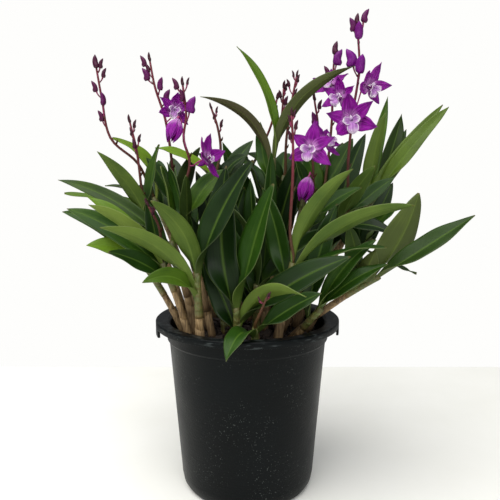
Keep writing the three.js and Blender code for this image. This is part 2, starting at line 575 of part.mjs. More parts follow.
const leafFinish = finish(0x3f6b2a, 0.45);
const spikeFinish = finish(0x6b3344, 0.6);
const bloomFinish = finish(0x8a22a8, 0.55);

plants.forEach(({ row, cane, spike }, i) => {
  const stem = solid(rod(cane.points, cane.radii, CANE_SIDES));
  const blades = leavesOf(row, cane).map((blade) => bladeSolid(blade, stationsOf(blade), [-1, 0, 1]));
  const leafy = joined([stem, ...blades]);
  place("leafy_stem_" + number(i + 1), spike ? leafy.subtract(sheathHole(spike)) : leafy, leafFinish);
});

let spikes = 0;
let blooms = 0;
for (const plant of plants) {
  if (!plant.spike) continue;
  const { spike } = plant;
  const stem = rod(spike.crowned.points, spike.crowned.radii, SPIKE_SIDES);
  const parts = [solid(stem), ...plant.buds.map(budSolid)];
  for (const bloom of plant.blooms) {
    parts.push(solid(stalkOf(spike, bloom)));
    place("bloom_" + number(++blooms), joined(bloomSolids(bloom)), bloomFinish);
  }
  place("flower_spike_" + number(++spikes), joined(parts), spikeFinish);
}

place("potting_mix", mixSolid(plants.map(({ cane }) => cane)), finish(0x2a211a, 0.95));
place("pot", potSolid(), finish(0x17191a, 0.5));

export default group;
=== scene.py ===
# %% [markdown]
# # A rock orchid in flower, in a nursery pot
#
# This lesson dresses a plain measured model of a potted dendrobium orchid. The measured model is the frame:
# 31 leafy canes, 15 flower spikes, 10 blooms, the bark mix and the pot, each a simple closed solid. Every
# solid gets a finer piece that keeps its place and size. A straight leaf, a straight cane, a bud and so on
# are modelled once, as blanks, and each blank is copied and laid along its own line.

# %% Load the frame and keep its box
import math

import bpy
import numpy as np
from mathutils import Matrix


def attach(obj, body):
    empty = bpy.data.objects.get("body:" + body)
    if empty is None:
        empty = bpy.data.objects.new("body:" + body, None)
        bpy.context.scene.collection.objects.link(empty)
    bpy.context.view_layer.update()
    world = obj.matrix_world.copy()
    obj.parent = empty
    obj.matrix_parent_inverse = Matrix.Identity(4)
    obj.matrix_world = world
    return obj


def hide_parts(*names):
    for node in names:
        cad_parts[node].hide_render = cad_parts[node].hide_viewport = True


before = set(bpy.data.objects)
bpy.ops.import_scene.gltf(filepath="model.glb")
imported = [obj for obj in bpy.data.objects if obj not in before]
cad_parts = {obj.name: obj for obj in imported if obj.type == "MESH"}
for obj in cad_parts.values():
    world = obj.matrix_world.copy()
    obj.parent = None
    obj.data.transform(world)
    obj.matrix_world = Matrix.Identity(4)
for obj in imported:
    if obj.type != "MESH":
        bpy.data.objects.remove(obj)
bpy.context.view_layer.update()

# %% [markdown]
# ## The plant, cane by cane
#
# A plant like this is best kept as a table, because each cane leans its own way and the eye knows the real
# one by where its leaves go. The table is in millimetres and is the same one that the frame was made from,
# so a fine leaf and its solid share their root, tip and arch.

# %% The table of canes
# foot: x, y where the cane leaves the mix. top: x, y, z of its tip. r: radius at the foot.
# leaves: tip x, y, z, lift (rise of the arch over its chord), width, roll (degrees, turned to the front).
# spike: points that the flower stem passes. buds: share of the way up the spike, x, y, z from the stem to
# the bud's base, length. blooms: share, centre x, y, z, the way the face looks, size from tip to tip, turn.
CANES = [
    dict(foot=[-31, -34], top=[-32, -42, 161], r=3.2, leaves=[
        [4, -50, 231, 5, 21, 66], [-57, -60, 207, 9, 14, -60], [-88, -59, 191, 10, 13, -65],
        [-62, -66, 159, 9, 13, 60], [-67, -28, 182, 6, 11, -55]]),
    dict(foot=[-6, -32], top=[-7, -41, 138], r=3.2, leaves=[
        [16, -54, 217, 2, 23, 70], [-13, -36, 228, -6, 25, 95], [63, -56, 173, 5, 21, 55],
        [34, -78, 153, 14, 12, -50], [-29, -26, 165, 3, 18, 75]]),
    dict(foot=[20, -34], top=[29, -39, 167], r=2.6, leaves=[
        [65, -46, 226, 8, 13, -60], [101, -54, 204, 11, 13, -55], [86, -50, 178, 7, 9, 10],
        [10, -21, 214, 4, 16, 70]],
        spike=[[27, -43, 185], [28, -46, 219], [28, -46, 240], [27, -46, 258]],
        buds=[[0.76, -1.4, -1, 3, 6], [0.84, 1.4, -1, 3, 6], [0.9, -1.2, 0, 3, 5], [0.95, 1, 0, 2.5, 5],
          [1, 0, 0, 0, 5]]),
    dict(foot=[5, -42], top=[5, -50, 127], r=2.6, leaves=[
        [44, -68, 153, 2, 15, 55], [-12, -82, 116, 10, 15, 0]],
        spike=[[8, -56, 138], [12, -61, 149]],
        buds=[[0.8, -2.5, 0, 1, 4], [0.9, 2, 0, 2, 4], [1, 0, 0, 0, 4]]),
    dict(foot=[30, -12], top=[86, -34, 157], r=2.5, leaves=[
        [138, -54, 198, 0, 16, 50], [109, -35, 211, -4, 23, -75], [64, -40, 190, 4, 16, -70],
        [80, -47, 176, -1, 14, -60]]),
    dict(foot=[30, -26], top=[48, -40, 137], r=2.5, leaves=[
        [81, -43, 182, 5, 12, 60], [88, -47, 167, 5, 13, 50], [58, -30, 204, 4, 16, 65]]),
    dict(foot=[12, -2], top=[18, -2, 234], r=2.6, leaves=[
        [-7, -6, 307, 11, 9, 60], [69, -18, 292, 16, 10, -60], [-30, -24, 272, 16, 8, -45],
        [9, 4, 259, -2, 10, 70]]),
    dict(foot=[24, 2], top=[68, -8, 197], r=3.2, leaves=[
        [101, -6, 221, 1, 12, 60], [82, -30, 228, 3, 12, -60], [95, -30, 184, 5, 13, 40],
        [83, 9, 251, 3, 15, 60]],
        spike=[[68, -10, 226], [70, -12, 262], [74, -10, 292], [72, -10, 319]],
        buds=[[0.67, 0.5, -5, 6, 12], [0.71, -3, -1, 6, 12], [0.89, -0.5, -3, 3, 11], [0.93, -2.6, -1, 4, 9],
          [0.94, 3, 0, 9, 9], [1, 0, 0, 0, 8]],
        blooms=[[0.42, 66, -30, 257, [-0.2, -0.95, 0.1], 34, -12],
          [0.5, 79, -20, 279, [0.5, -0.85, 0], 27, 20],
          [0.5, 61, -14, 273, [-0.6, -0.75, 0.2], 26, 0]]),
    dict(foot=[20, -16], top=[44, -14, 196], r=2.6, leaves=[
        [30, -20, 234, 4, 13, 60], [75, -23, 214, 4, 13, 50], [60, 7, 208, 3, 13, 70]],
        spike=[[44, -18, 214], [43, -20, 232], [42, -18, 240]],
        buds=[],
        blooms=[[1, 40, -36, 239, [-0.3, -0.93, 0.1], 31, 8], [0.8, 52, -16, 244, [0.5, -0.6, 0.5], 25, 30],
          [0.45, 39, -30, 219, [-0.3, -0.2, -0.93], 20, 0, "closed"]]),
    dict(foot=[34, 12], top=[93, 14, 207], r=3.2, leaves=[
        [142, 12, 270, 3, 12, 62], [98, 14, 266, 3, 13, -70], [116, 39, 268, -4, 17, 70],
        [104, 34, 280, 0, 11, 60], [121, 43, 257, -3, 14, 40], [142, 25, 273, 3, 13, 60]]),
    dict(foot=[6, -18], top=[6, -26, 150], r=2.6, leaves=[
        [60, -17, 186, 5, 19, 72], [-12, -12, 201, 9, 12, -60], [2, 1, 220, 4, 17, 65],
        [-24, -16, 204, 3, 15, 75], [16, -6, 239, -3, 15, 70], [-20, -10, 176, 3, 14, 60]]),
    dict(foot=[-38, -26], top=[-55, -34, 166], r=2.5, leaves=[
        [-98, -46, 204, 6, 12, -55], [-115, -35, 201, 6, 16, 60], [-84, -56, 176, 3, 14, 60]],
        spike=[[-56, -36, 188], [-62, -40, 203]],
        buds=[[0.7, -1.2, -1, 3, 6], [0.85, 1.2, 0, 2, 6], [1, 0, 0, 0, 6]]),
    dict(foot=[-42, -15], top=[-69, -25, 164], r=2.5, leaves=[
        [-102, -40, 178, 6, 14, 65], [-123, -20, 198, 9, 14, 60], [-107, -18, 208, 9, 13, 50],
        [-67, -21, 206, 3, 15, 60]]),
    dict(foot=[-36, -8], top=[-52, -14, 178], r=3.2, leaves=[
        [-56, -26, 228, 3, 16, 70], [-130, -5, 219, 9, 12, 60]]),
    dict(foot=[-42, 6], top=[-70, 4, 190], r=2.6, leaves=[
        [-60, -4, 243, 5, 18, 75], [-101, -11, 238, 5, 12, -65], [-114, -2, 214, 5, 13, -50],
        [-110, 16, 204, 5, 14, 40]],
        spike=[[-74, 2, 212], [-77, 2, 240], [-81, 2, 258]],
        buds=[[0.64, -0.8, -1, 4, 7], [0.7, 1.8, 0, 4, 6], [0.78, -1.3, 0, 3, 6], [0.88, 1, 0, 3, 6],
          [1, 0, 0, 0, 6]]),
    dict(foot=[-24, -14], top=[-44, -10, 190], r=2.6, leaves=[
        [-13, -12, 226, 6, 17, 60], [-39, -31, 222, 3, 10, 30], [-56, 4, 231, 3, 17, 105]],
        spike=[[-43, -15, 212], [-38, -17, 230], [-42, -17, 246], [-40, -17, 261], [-42, -17, 280]],
        buds=[[0.74, 3, -2, 6, 11], [0.87, -1.2, -2, 2.4, 8], [0.93, -4, 0, 4.5, 8],
          [0.96, 2.2, 0, 4.5, 5], [1, 0, 0, 0, 6]],
        blooms=[[0.38, -26, -30, 233, [0.8, -0.35, 0.35], 32, 20],
          [0.52, -45, -27, 256, [-0.3, -0.3, -0.9], 20, 0, "closed"]]),
    dict(foot=[-28, 6], top=[-51, 10, 198], r=2.6, leaves=[
        [-73, 15, 235, 3, 14, 50], [-34, 14, 242, 4, 16, -60], [-58, 43, 236, 5, 16, 0]],
        spike=[[-53, 8, 226], [-57, 6, 260], [-64, 6, 283], [-67, 6, 300]],
        buds=[[0.59, 2.6, -1, 4, 9], [0.69, 1.6, -2, 3, 9], [0.77, -4, -1, 3, 9], [0.84, -2.5, 0, 3, 7],
          [0.91, -4, 0, 2.6, 8],
          [1, 0, 0, 0, 6]],
        blooms=[[0.5, -49, -5, 266, [0.2, -0.95, 0.15], 25, 16]]),
    dict(foot=[-36, 22], top=[-70, 28, 206], r=2.6, leaves=[
        [-98, 20, 249, 12, 11, 50], [-134, 19, 209, 1, 10, 30], [-112, 50, 214, 6, 15, 0],
        [-72, 64, 234, 6, 15, 0]],
        spike=[[-80, 20, 231], [-97, 12, 248], [-102, 10, 276], [-105, 10, 296]],
        buds=[[0.57, -3, -1, 4, 8], [0.63, -0.2, -1, 9, 9], [0.76, -3, -1, 4, 8], [0.87, 2.6, 0, 4, 7],
          [0.95, 1.8, 0, 4, 7], [1, 0, 0, 0, 9]]),
    dict(foot=[42, 0], top=[88, 2, 178], r=2.6, leaves=[
        [105, -12, 203, 4, 15, 50], [113, -24, 157, -1, 5, 0], [104, 11, 217, 0, 14, 50],
        [66, 12, 206, 3, 16, 60], [99, 19, 196, 3, 14, 50]]),
    dict(foot=[-12, 10], top=[-22, 10, 220], r=2.6, leaves=[
        [-64, 2, 241, 6, 10, 40], [0, 4, 236, 5, 14, 50], [4, 19, 247, 3, 14, 50]],
        spike=[[-19, 10, 240], [-21, 8, 256], [-25, 8, 268]],
        buds=[[0.58, 1.3, 0, 4, 6], [0.7, -1.3, 0, 4, 6], [0.84, 1, 0, 3, 5], [1, 0, 0, 0, 5]]),
    dict(foot=[21, 11], top=[54, 10, 212], r=2.6, leaves=[
        [75, 13, 248, 0, 18, 50], [36, 16, 246, 4, 14, 50], [66, 40, 236, 5, 15, 0]],
        spike=[[58, 12, 238], [60, 14, 262], [60, 14, 288], [61, 14, 306]],
        buds=[[0.74, -3, 0, 5, 8], [0.84, 1.6, -1, 4, 11], [1, 0, 0, 0, 9]],
        blooms=[[0.66, 57, 5, 284, [-0.3, -0.75, 0.6], 26, 0]]),
    dict(foot=[10, 18], top=[27, 20, 222], r=2.6, leaves=[
        [57, 35, 242, 4, 14, 40], [0, 21, 238, 5, 17, 40], [30, 60, 240, 6, 15, 0]],
        spike=[[28, 20, 246], [31, 20, 270], [35, 20, 292]],
        buds=[[0.72, 2, 0, 5, 6], [0.8, -2.4, 0, 6, 6], [0.88, 1.8, 0, 4, 6], [0.95, -1.2, 0, 3, 5],
          [1, 0, 0, 0, 5]]),
    dict(foot=[2, 28], top=[14, 34, 212], r=2.6, leaves=[
        [-14, 56, 238, 6, 15, 0], [16, 78, 226, 7, 15, 0], [-18, 19, 246, -5, 16, 70],
        [-2, 7, 236, 3, 14, 60]],
        spike=[[20, 28, 236], [25, 24, 266], [26, 22, 284]],
        buds=[[0.72, 1.8, -1, 4, 7], [0.8, -1.4, -1, 4, 6], [0.9, 1.2, 0, 4, 6], [1, 0, 0, 0, 6]]),
    dict(foot=[-14, 26], top=[-10, 36, 204], r=2.6, leaves=[
        [-40, 44, 240, 5, 17, 20], [-16, 74, 224, 6, 15, 0]],
        spike=[[6, 26, 234], [17, 20, 258], [21, 18, 276]],
        buds=[[0.76, 1.4, -1, 3, 6], [0.88, -1.2, -1, 3, 6], [1, 0, 0, 0, 6]]),
    dict(foot=[26, 26], top=[42, 30, 204], r=2.6, leaves=[
        [74, 49, 247, -1, 16, 0], [46, 66, 228, 8, 15, 0]],
        spike=[[46, 22, 232], [50, 14, 256], [47, 10, 274]],
        buds=[[0.68, -1.6, -2, 2, 9], [0.84, 1.4, 0, 3, 7], [1, 0, 0, 0, 6]]),
    dict(foot=[-26, 34], top=[-48, 50, 176], r=2.6, leaves=[
        [-90, 50, 214, 7, 20, 60], [-62, 90, 214, 7, 16, 0], [-30, 66, 222, 5, 15, -20]]),
    dict(foot=[-6, 40], top=[-10, 60, 172], r=2.6, leaves=[
        [-12, 76, 228, 5, 15, 0], [4, 98, 198, 8, 16, 0]]),
    dict(foot=[14, 40], top=[30, 60, 178], r=2.6, leaves=[
        [24, 72, 232, 5, 15, 0], [42, 100, 210, 8, 16, 0]]),
    dict(foot=[34, 24], top=[72, 42, 176], r=2.6, leaves=[
        [114, 56, 218, 3, 19, 20], [83, 81, 214, 7, 16, 0], [96, 36, 226, 5, 15, 30],
        [105, 27, 204, 3, 14, 40]]),
    dict(foot=[-16, -2], top=[-20, 2, 140], r=2.5, leaves=[
        [-36, 2, 225, 4, 20, 65], [-2, 5, 214, 4, 21, 95], [-42, 26, 190, 5, 15, 20],
        [-23, 2, 226, 12, 19, 70], [-52, 2, 206, 2, 18, 50]]),
    dict(foot=[10, 10], top=[12, 10, 142], r=2.5, leaves=[
        [-8, 14, 212, 4, 20, 65], [36, 9, 214, 4, 21, 80], [-6, 32, 196, 5, 14, 0],
        [84, -2, 208, 8, 17, 60], [37, -2, 237, 4, 16, 70]]),
]

# %% Driving dimensions, in millimetres
MM = 0.001
POT_HEIGHT = 122
RIM_RADIUS = 65
RIM_LIP_HEIGHT = 4.5
BODY_TOP_RADIUS = 56.5
BODY_FOOT_RADIUS = 47.5
COLLAR_HEIGHT = 15
WALL = 1.7
MIX_TOP = 109
SEAT_GAP = 0.35
CANE_DEPTH = 18
CANE_TOP_RADIUS = 1.9
LEAF_SPACING = 5
UP = np.array([0.0, 0.0, 1.0])

print("table:", len(CANES), "canes,", sum(len(row["leaves"]) for row in CANES), "leaves")

# %% [markdown]
# ## Small helpers
#
# Blender's operators work on whatever is selected, and the frame comes in selected, so each step first
# picks the one object that it is about. In edit mode, corners or faces are picked by their place or the way
# they look.


# %% Pick an object, start a blank, pick parts of a mesh, apply a modifier
def pick(obj):
    """Makes obj the only selected object, and the active one."""
    bpy.ops.object.select_all(action="DESELECT")
    obj.select_set(True)
    bpy.context.view_layer.objects.active = obj


def start_blank(name, finishes, add_primitive, **size):
    """Adds a primitive, gives it its name and finishes, and selects all of it in edit mode."""
    bpy.ops.object.select_all(action="DESELECT")
    add_primitive(**size)
    blank = bpy.context.object
    blank.name = name
    for finish in finishes:
        blank.data.materials.append(finish)
    bpy.ops.object.mode_set(mode="EDIT")
    bpy.ops.mesh.select_all(action="SELECT")
    return blank


def pick_parts(kind, test):
    """In edit mode, selects the corners (VERT) or faces (FACE) that pass the test."""
    bpy.ops.mesh.select_mode(type=kind)
    bpy.ops.mesh.select_all(action="DESELECT")
    bpy.ops.object.mode_set(mode="OBJECT")
    mesh = bpy.context.object.data
    for part in mesh.vertices if kind == "VERT" else mesh.polygons:
        part.select = bool(test(part))
    bpy.ops.object.mode_set(mode="EDIT")


def with_modifier(obj, kind, **settings):
    """Adds a modifier, sets it and applies it."""
    pick(obj)
    bpy.ops.object.modifier_add(type=kind)
    modifier = obj.modifiers[-1]
    for name, value in settings.items():
        setattr(modifier, name, value)
    bpy.ops.object.modifier_apply(modifier=modifier.name)


# %% [markdown]
# A blank is modelled once. A copy gets its own mesh, and its corners are moved to their final place by a
# rule, all at once with numpy, which is what a Curve modifier does for one object at a time. The copy's
# object stays at the origin, with its place in its mesh, so that patterns on Object coordinates find it
# where it is.


# %% Copy a blank, read and move its corners, paint values on them
def copy_of(blank):
    piece = blank.copy()
    piece.data = blank.data.copy()
    bpy.context.scene.collection.objects.link(piece)
    return piece


def corners_of(piece):
    places = np.empty(len(piece.data.vertices) * 3, np.float32)
    piece.data.vertices.foreach_get("co", places)
    return places.reshape(-1, 3).astype(float)


def move_corners(piece, places, scale=MM):
    piece.data.vertices.foreach_set("co", (places * scale).astype(np.float32).ravel())
    piece.data.update()
    return piece


def paint(piece, **values):
    """Stores named numbers on the corners, for the materials to read."""
    count = len(piece.data.vertices)
    for name, value in values.items():
        layer = piece.data.attributes.get(name) or piece.data.attributes.new(name, "FLOAT", "POINT")
        layer.data.foreach_set("value", np.broadcast_to(np.asarray(value, np.float32), (count,)).copy())
    return piece


def join(pieces, name):
    """Joins pieces into the first, which gets the name."""
    pick(pieces[0])
    for piece in pieces:
        piece.select_set(True)
    bpy.ops.object.join()
    pieces[0].name = name
    pieces[0].data.name = name
    return pieces[0]


def unit(v):
    return v / np.linalg.norm(v, axis=-1, keepdims=True)


def smooth(t):
    """Eases 0..1 in and out."""
    return t * t * (3 - 2 * t)


# %% [markdown]
# ## Materials
#
# Each finish is built from nodes. A helper starts a material and wires a few nodes, so that the recipe
# reads as a short list. Patterns read Object coordinates in metres, the UV map of a blade (u across, v from
# root to tip) or the values painted on the corners: tone, from 0 dark to 1 light, along, from 0 at the foot
# to 1 at the top, and blush, from 0 green to 1 maroon.


# %% A small recipe book for node materials
class Finish:
    """A material with a Principled shader, and short ways to add the nodes that drive it."""

    def __init__(self, name, roughness=0.5, specular=0.5):
        self.material = bpy.data.materials.new(name)
        self.material.use_nodes = True
        self.tree = self.material.node_tree
        self.shader = self.tree.nodes["Principled BSDF"]
        self.shader.inputs["Roughness"].default_value = roughness
        self.shader.inputs["Specular IOR Level"].default_value = specular

    def feed(self, socket, value):
        """Links a node's output to the socket, or sets the socket to a constant."""
        if isinstance(value, bpy.types.NodeSocket):
            self.tree.links.new(value, socket)
        else:
            socket.default_value = value

    def node(self, kind, inputs, **settings):
        """A new node with its settings and what goes in, by the sockets' names or numbers."""
        made = self.tree.nodes.new("ShaderNode" + kind)
        for name, value in settings.items():
            setattr(made, name, value)
        for socket, value in inputs.items():
            self.feed(made.inputs[socket], value)
        return made

    def place(self):
        return self.node("TexCoord", {}).outputs["Object"]

    def uv(self):
        """Places across and along a blade, and the distance from its middle."""
        split = self.node("SeparateXYZ", {0: self.node("TexCoord", {}).outputs["UV"]})
        across, along = split.outputs["X"], split.outputs["Y"]
        return across, along, self.calc("ABSOLUTE", self.calc("SUBTRACT", across, 0.5))

    def painted(self, name):
        return self.node("Attribute", {}, attribute_name=name).outputs["Fac"]

    def calc(self, operation, *values):
        return self.node("Math", dict(enumerate(values)), operation=operation).outputs[0]

    def times(self, first, second):
        return self.calc("MULTIPLY", first, second)

    def weighed(self, first, share, second, other_share):
        return self.calc("ADD", self.times(first, share), self.times(second, other_share))

    def swayed(self, value, noise, share):
        """The value, moved up and down by a share of the noise."""
        return self.calc("ADD", value, self.times(self.calc("SUBTRACT", noise, 0.5), share))

    def spread(self, value, low, high, to_low=0.0, to_high=1.0):
        """Maps low..high to to_low..to_high with soft ends, and stays within them."""
        ends = {"From Min": low, "From Max": high, "To Min": to_low, "To Max": to_high}
        made = self.node("MapRange", {"Value": value, **ends}, interpolation_type="SMOOTHSTEP")
        return made.outputs["Result"]

    def noise(self, scale, detail=3.0, stretch=None, vector=None, roughness=0.55):
        """Noise on the place in metres, or on a vector; stretch scales z alone."""
        vector = vector or self.place()
        if stretch:
            vector = self.node("Mapping", {"Vector": vector, "Scale": (1, 1, stretch)}).outputs["Vector"]
        settings = {"Vector": vector, "Scale": scale, "Detail": detail, "Roughness": roughness}
        return self.node("TexNoise", settings).outputs["Fac"]

    def veins(self, across, along, count, waver, shift):
        """Streaks that run along a blade and differ from one tone to the next."""
        parts = (self.times(across, count), self.times(along, waver), self.times(self.painted("tone"), shift))
        return self.noise(1.0, 2, vector=self.node("CombineXYZ", dict(enumerate(parts))).outputs[0])

    def ramp(self, value, *stops):
        made = self.node("ValToRGB", {"Fac": value})
        stop_list = made.color_ramp.elements
        for place, colour in stops[1:-1]:
            stop_list.new(place).color = colour
        for stop, (place, colour) in ((stop_list[0], stops[0]), (stop_list[-1], stops[-1])):
            stop.position = place
            stop.color = colour
        return made.outputs["Color"]

    def mix(self, share, first, second):
        return self.node("Mix", {0: share, 6: first, 7: second}, data_type="RGBA").outputs[2]

    def set(self, socket, value):
        self.feed(self.shader.inputs[socket], value)
        return self

    def bump(self, height, distance, strength=1.0):
        made = self.node("Bump", {"Height": height, "Distance": distance, "Strength": strength})
        return self.set("Normal", made.outputs["Normal"])


# %% [markdown]
# ### Leaf, cane and sheath finishes
#
# An orchid leaf is dark and a little glossy above, paler and matt below. Fine veins run along it, a groove
# marks the keel and a thin pale line runs round the edge, which is partly its colour and partly a painted
# highlight that the edge catches. One recipe serves all the leaves: the painted tone makes one leaf nearly
# black-green and the next one olive, as they are on a crowded plant.


# %% Leaf finishes
def rgb(*screen):
    """A colour as a screen shows it, 0 to 255, turned into the light values that a shader wants."""
    shares = [value / 255 for value in screen]
    return (*(c / 12.92 if c <= 0.04045 else ((c + 0.055) / 1.055) ** 2.4 for c in shares), 1)


def leaf_finish(name, dark, middle, light, keel, shine, blush):
    f = Finish(name, specular=0.2)
    across, along, out = f.uv()
    veins = f.veins(across, along, 60, 2, 37)
    clouds = f.noise(38)
    shade = f.swayed(f.swayed(f.painted("tone"), veins, 0.24), clouds, 0.4)
    skin = f.ramp(shade, (0.0, dark), (0.5, middle), (1.0, light))
    skin = f.mix(f.times(f.painted("blush"), blush), skin, rgb(74, 56, 46))
    root, midrib = f.spread(along, 0.22, 0.0, 0.0, 0.4), f.spread(out, 0.07, 0.008, 0.0, 0.26)
    # The pale line along the edge is partly the leaf's colour and partly a painted highlight that the edge
    # catches.
    edge_line_and_highlight, tip = f.spread(out, 0.485, 0.498, 0.0, 0.4), f.spread(along, 0.975, 0.999, 0.0, 0.6)
    for share, colour in ((root, rgb(86, 100, 42)), (midrib, keel), (edge_line_and_highlight, rgb(104, 122, 54)),
                          (tip, rgb(96, 76, 38))):
        skin = f.mix(share, skin, colour)
    f.set("Base Color", skin).set("Roughness", f.spread(clouds, 0.3, 0.7, shine, shine + 0.12))
    groove = f.spread(out, 0.0, 0.03)
    return f.bump(f.calc("ADD", f.times(veins, 0.25), groove), 0.0003, 0.5).material


leaf_upper = leaf_finish("leaf_upper", rgb(5, 20, 4), rgb(34, 64, 10), rgb(106, 138, 32), rgb(106, 138, 50),
                         0.34, 0.4)
leaf_under = leaf_finish("leaf_under", rgb(18, 34, 6), rgb(60, 82, 24), rgb(118, 138, 56), rgb(108, 128, 52),
                         0.55, 1.0)

# The edge faces are pale: partly the leaf's own colour, partly a painted highlight along the edge.
edge = Finish("leaf_edge_and_highlight")
edge.set("Base Color", edge.ramp(edge.painted("tone"), (0, rgb(40, 58, 22)), (1, rgb(112, 128, 58))))
leaf_edge_and_highlight = edge.material
print("leaf finishes:", leaf_upper.name, leaf_under.name, leaf_edge_and_highlight.name)

# %% [markdown]
# The canes are woody and tan, greener towards the leaves, ringed at each joint and wrapped in old papery
# sheaths with long fibres. The tone that is painted on a cane is low in the groove above each joint.


# %% Cane and sheath finishes
def cane_finish():
    f = Finish("cane_bark", 0.55)
    fibres = f.noise(900, stretch=0.07)
    patches = f.noise(90)
    wood = f.ramp(f.weighed(fibres, 0.6, patches, 0.5),
                  (0.36, rgb(50, 36, 20)), (0.52, rgb(112, 88, 54)), (0.68, rgb(172, 144, 102)))
    green = f.ramp(patches, (0.3, rgb(56, 60, 24)), (0.7, rgb(100, 98, 46)))
    skin = f.mix(f.spread(f.painted("along"), 0.72, 1.0), wood, green)
    skin = f.mix(f.spread(f.painted("tone"), 0.25, 0.0, 0.0, 0.75), skin, rgb(52, 36, 26))
    return f.set("Base Color", skin).bump(fibres, 0.0005, 0.5).material


def sheath_finish(name, pale, dark, roughness, foot):
    f = Finish(name, roughness)
    fibres = f.noise(1300, 2, stretch=0.05)
    skin = f.ramp(f.weighed(fibres, 0.7, f.noise(160, 2), 0.3), (0.3, dark), (0.72, pale))
    skin = f.mix(f.spread(f.painted("along"), 0.6, 0.0, 0.0, 0.8), skin, foot)
    return f.set("Base Color", skin).bump(fibres, 0.0004, 0.5).material


cane_bark = cane_finish()
papery_sheath = sheath_finish("papery_sheath", rgb(176, 148, 106), rgb(70, 50, 30), 0.8, rgb(104, 80, 50))
leaf_sheath = sheath_finish("leaf_sheath", rgb(100, 108, 50), rgb(60, 70, 26), 0.5, rgb(116, 92, 56))
print("cane finishes:", cane_bark.name, papery_sheath.name, leaf_sheath.name)

# %% [markdown]
# ### Flower finishes
#
# The flowers are violet with a magenta glow, pale at the heart and finely veined. The lip is nearly white
# with violet streaks, and the column above it is lilac. Buds start maroon and turn violet as they fill.


# %% Flower finishes
def tepal_finish(name, heart, body, tip, vein, rim=0.35):
    f = Finish(name, 0.42, 0.2)
    across, along, out = f.uv()
    veins = f.veins(across, along, 26, 1.6, 29)
    reach = f.swayed(along, f.noise(240, 2), 0.25)
    skin = f.ramp(reach, (0.04, heart), (0.34, body), (0.7, body), (1.0, tip))
    skin = f.mix(f.spread(veins, 0.42, 0.66, 0.0, 0.7), skin, vein)
    skin = f.mix(f.spread(veins, 0.46, 0.3, 0.0, 0.22), skin, heart)
    skin = f.mix(f.spread(out, 0.42, 0.5, 0.0, rim), skin, tip)
    for socket, value in (("Weight", 0.12), ("Radius", (1.0, 0.4, 1.0)), ("Scale", 0.002)):
        f.set("Subsurface " + socket, value)
    return f.set("Base Color", skin).bump(veins, 0.0012, 0.6).material


violet_front = tepal_finish("violet_front", rgb(208, 144, 210), rgb(138, 0, 146), rgb(108, 2, 122),
                            rgb(60, 0, 76))
violet_back = tepal_finish("violet_back", rgb(186, 88, 172), rgb(148, 6, 142), rgb(134, 12, 132),
                           rgb(72, 0, 76))
lip_front = tepal_finish("lip_front", rgb(236, 214, 236), rgb(186, 132, 196), rgb(252, 242, 250),
                         rgb(112, 20, 138), 0.85)


def fleshy_finish(name, stops, roughness=0.45, speckle=0.4):
    """Buds, stems and the column: a colour that runs with the painted tone, finely mottled."""
    f = Finish(name, roughness, 0.25)
    mottle = f.noise(420)
    skin = f.ramp(f.swayed(f.painted("tone"), mottle, speckle), *stops)
    return f.set("Base Color", skin).bump(mottle, 0.0003, 0.4).material


BUD_COLOURS = ((0.0, rgb(52, 18, 28)), (0.4, rgb(78, 16, 60)), (1.0, rgb(108, 12, 120)))
STEM_COLOURS = ((0.0, rgb(78, 60, 32)), (0.35, rgb(80, 46, 38)), (0.75, rgb(102, 38, 48)),
                (1.0, rgb(156, 60, 112)))
bud_skin = fleshy_finish("bud_skin", BUD_COLOURS, 0.36, 0.2)
stem_skin = fleshy_finish("stem_skin", STEM_COLOURS)
column_skin = fleshy_finish("column_skin", ((0.0, rgb(198, 150, 210)), (1.0, rgb(244, 234, 246))), 0.35, 0.2)
print("flower finishes:", violet_front.name, violet_back.name, lip_front.name, bud_skin.name, stem_skin.name)

# %% [markdown]
# ### Pot and bark finishes
#
# The pot is soft black plastic, a little blue where the light slides over it. Dust has settled on it in
# specks. A grey band round the top of its rim is partly scuffs and partly a painted highlight along that
# edge. The mix is dark, damp bark.


# %% Pot and bark finishes
def pot_finish():
    f = Finish("pot_plastic", specular=0.1)
    cloud = f.noise(22, 4)
    scuff = f.noise(160, 4, stretch=5)
    height = f.node("SeparateXYZ", {0: f.place()}).outputs["Z"]
    skin = f.ramp(cloud, (0.3, rgb(2, 5, 6)), (0.7, rgb(5, 10, 12)))
    specks = f.times(f.spread(f.noise(1100, 1, roughness=0.3), 0.68, 0.74), f.spread(f.noise(30), 0.4, 0.62))
    skin = f.mix(f.times(specks, 0.35), skin, rgb(110, 116, 112))
    # A grey band at the top of the rim: scuffs, and a painted highlight along the edge.
    rim_wear_and_highlight = f.times(f.spread(scuff, 0.54, 0.7), f.spread(height, 0.1145, 0.119))
    skin = f.mix(f.times(rim_wear_and_highlight, 0.28), skin, rgb(96, 104, 104))
    f.set("Base Color", skin).set("Roughness", f.spread(cloud, 0.3, 0.7, 0.36, 0.46))
    return f.bump(f.calc("ADD", f.noise(900, 2), scuff), 0.0002, 0.5).material


def bark_finish():
    f = Finish("damp_bark", 0.85)
    grain = f.noise(420, 4, stretch=3)
    value = f.weighed(grain, 0.6, f.noise(70, 2), 0.4)
    skin = f.ramp(value, (0.3, rgb(16, 12, 9)), (0.55, rgb(42, 30, 22)), (0.8, rgb(84, 62, 46)))
    return f.set("Base Color", skin).bump(grain, 0.0015, 0.7).material


pot_plastic = pot_finish()
damp_bark = bark_finish()
print("pot finishes:", pot_plastic.name, damp_bark.name)

# %% [markdown]
# ## The blanks
#
# ### A straight leaf blank
#
# The blank is a flat strip: x runs from edge to edge, -1 to 1, and y from root to tip, 0 to 1. It starts as
# a grid, gets its thickness from a Solidify modifier, and its top, underside and edge get their own finish.
# Modelling each of the leaves by hand would take days, and an array can't vary them.


# %% Blade blanks
def shade_smooth(obj):
    for face in obj.data.polygons:
        face.use_smooth = True
    return obj


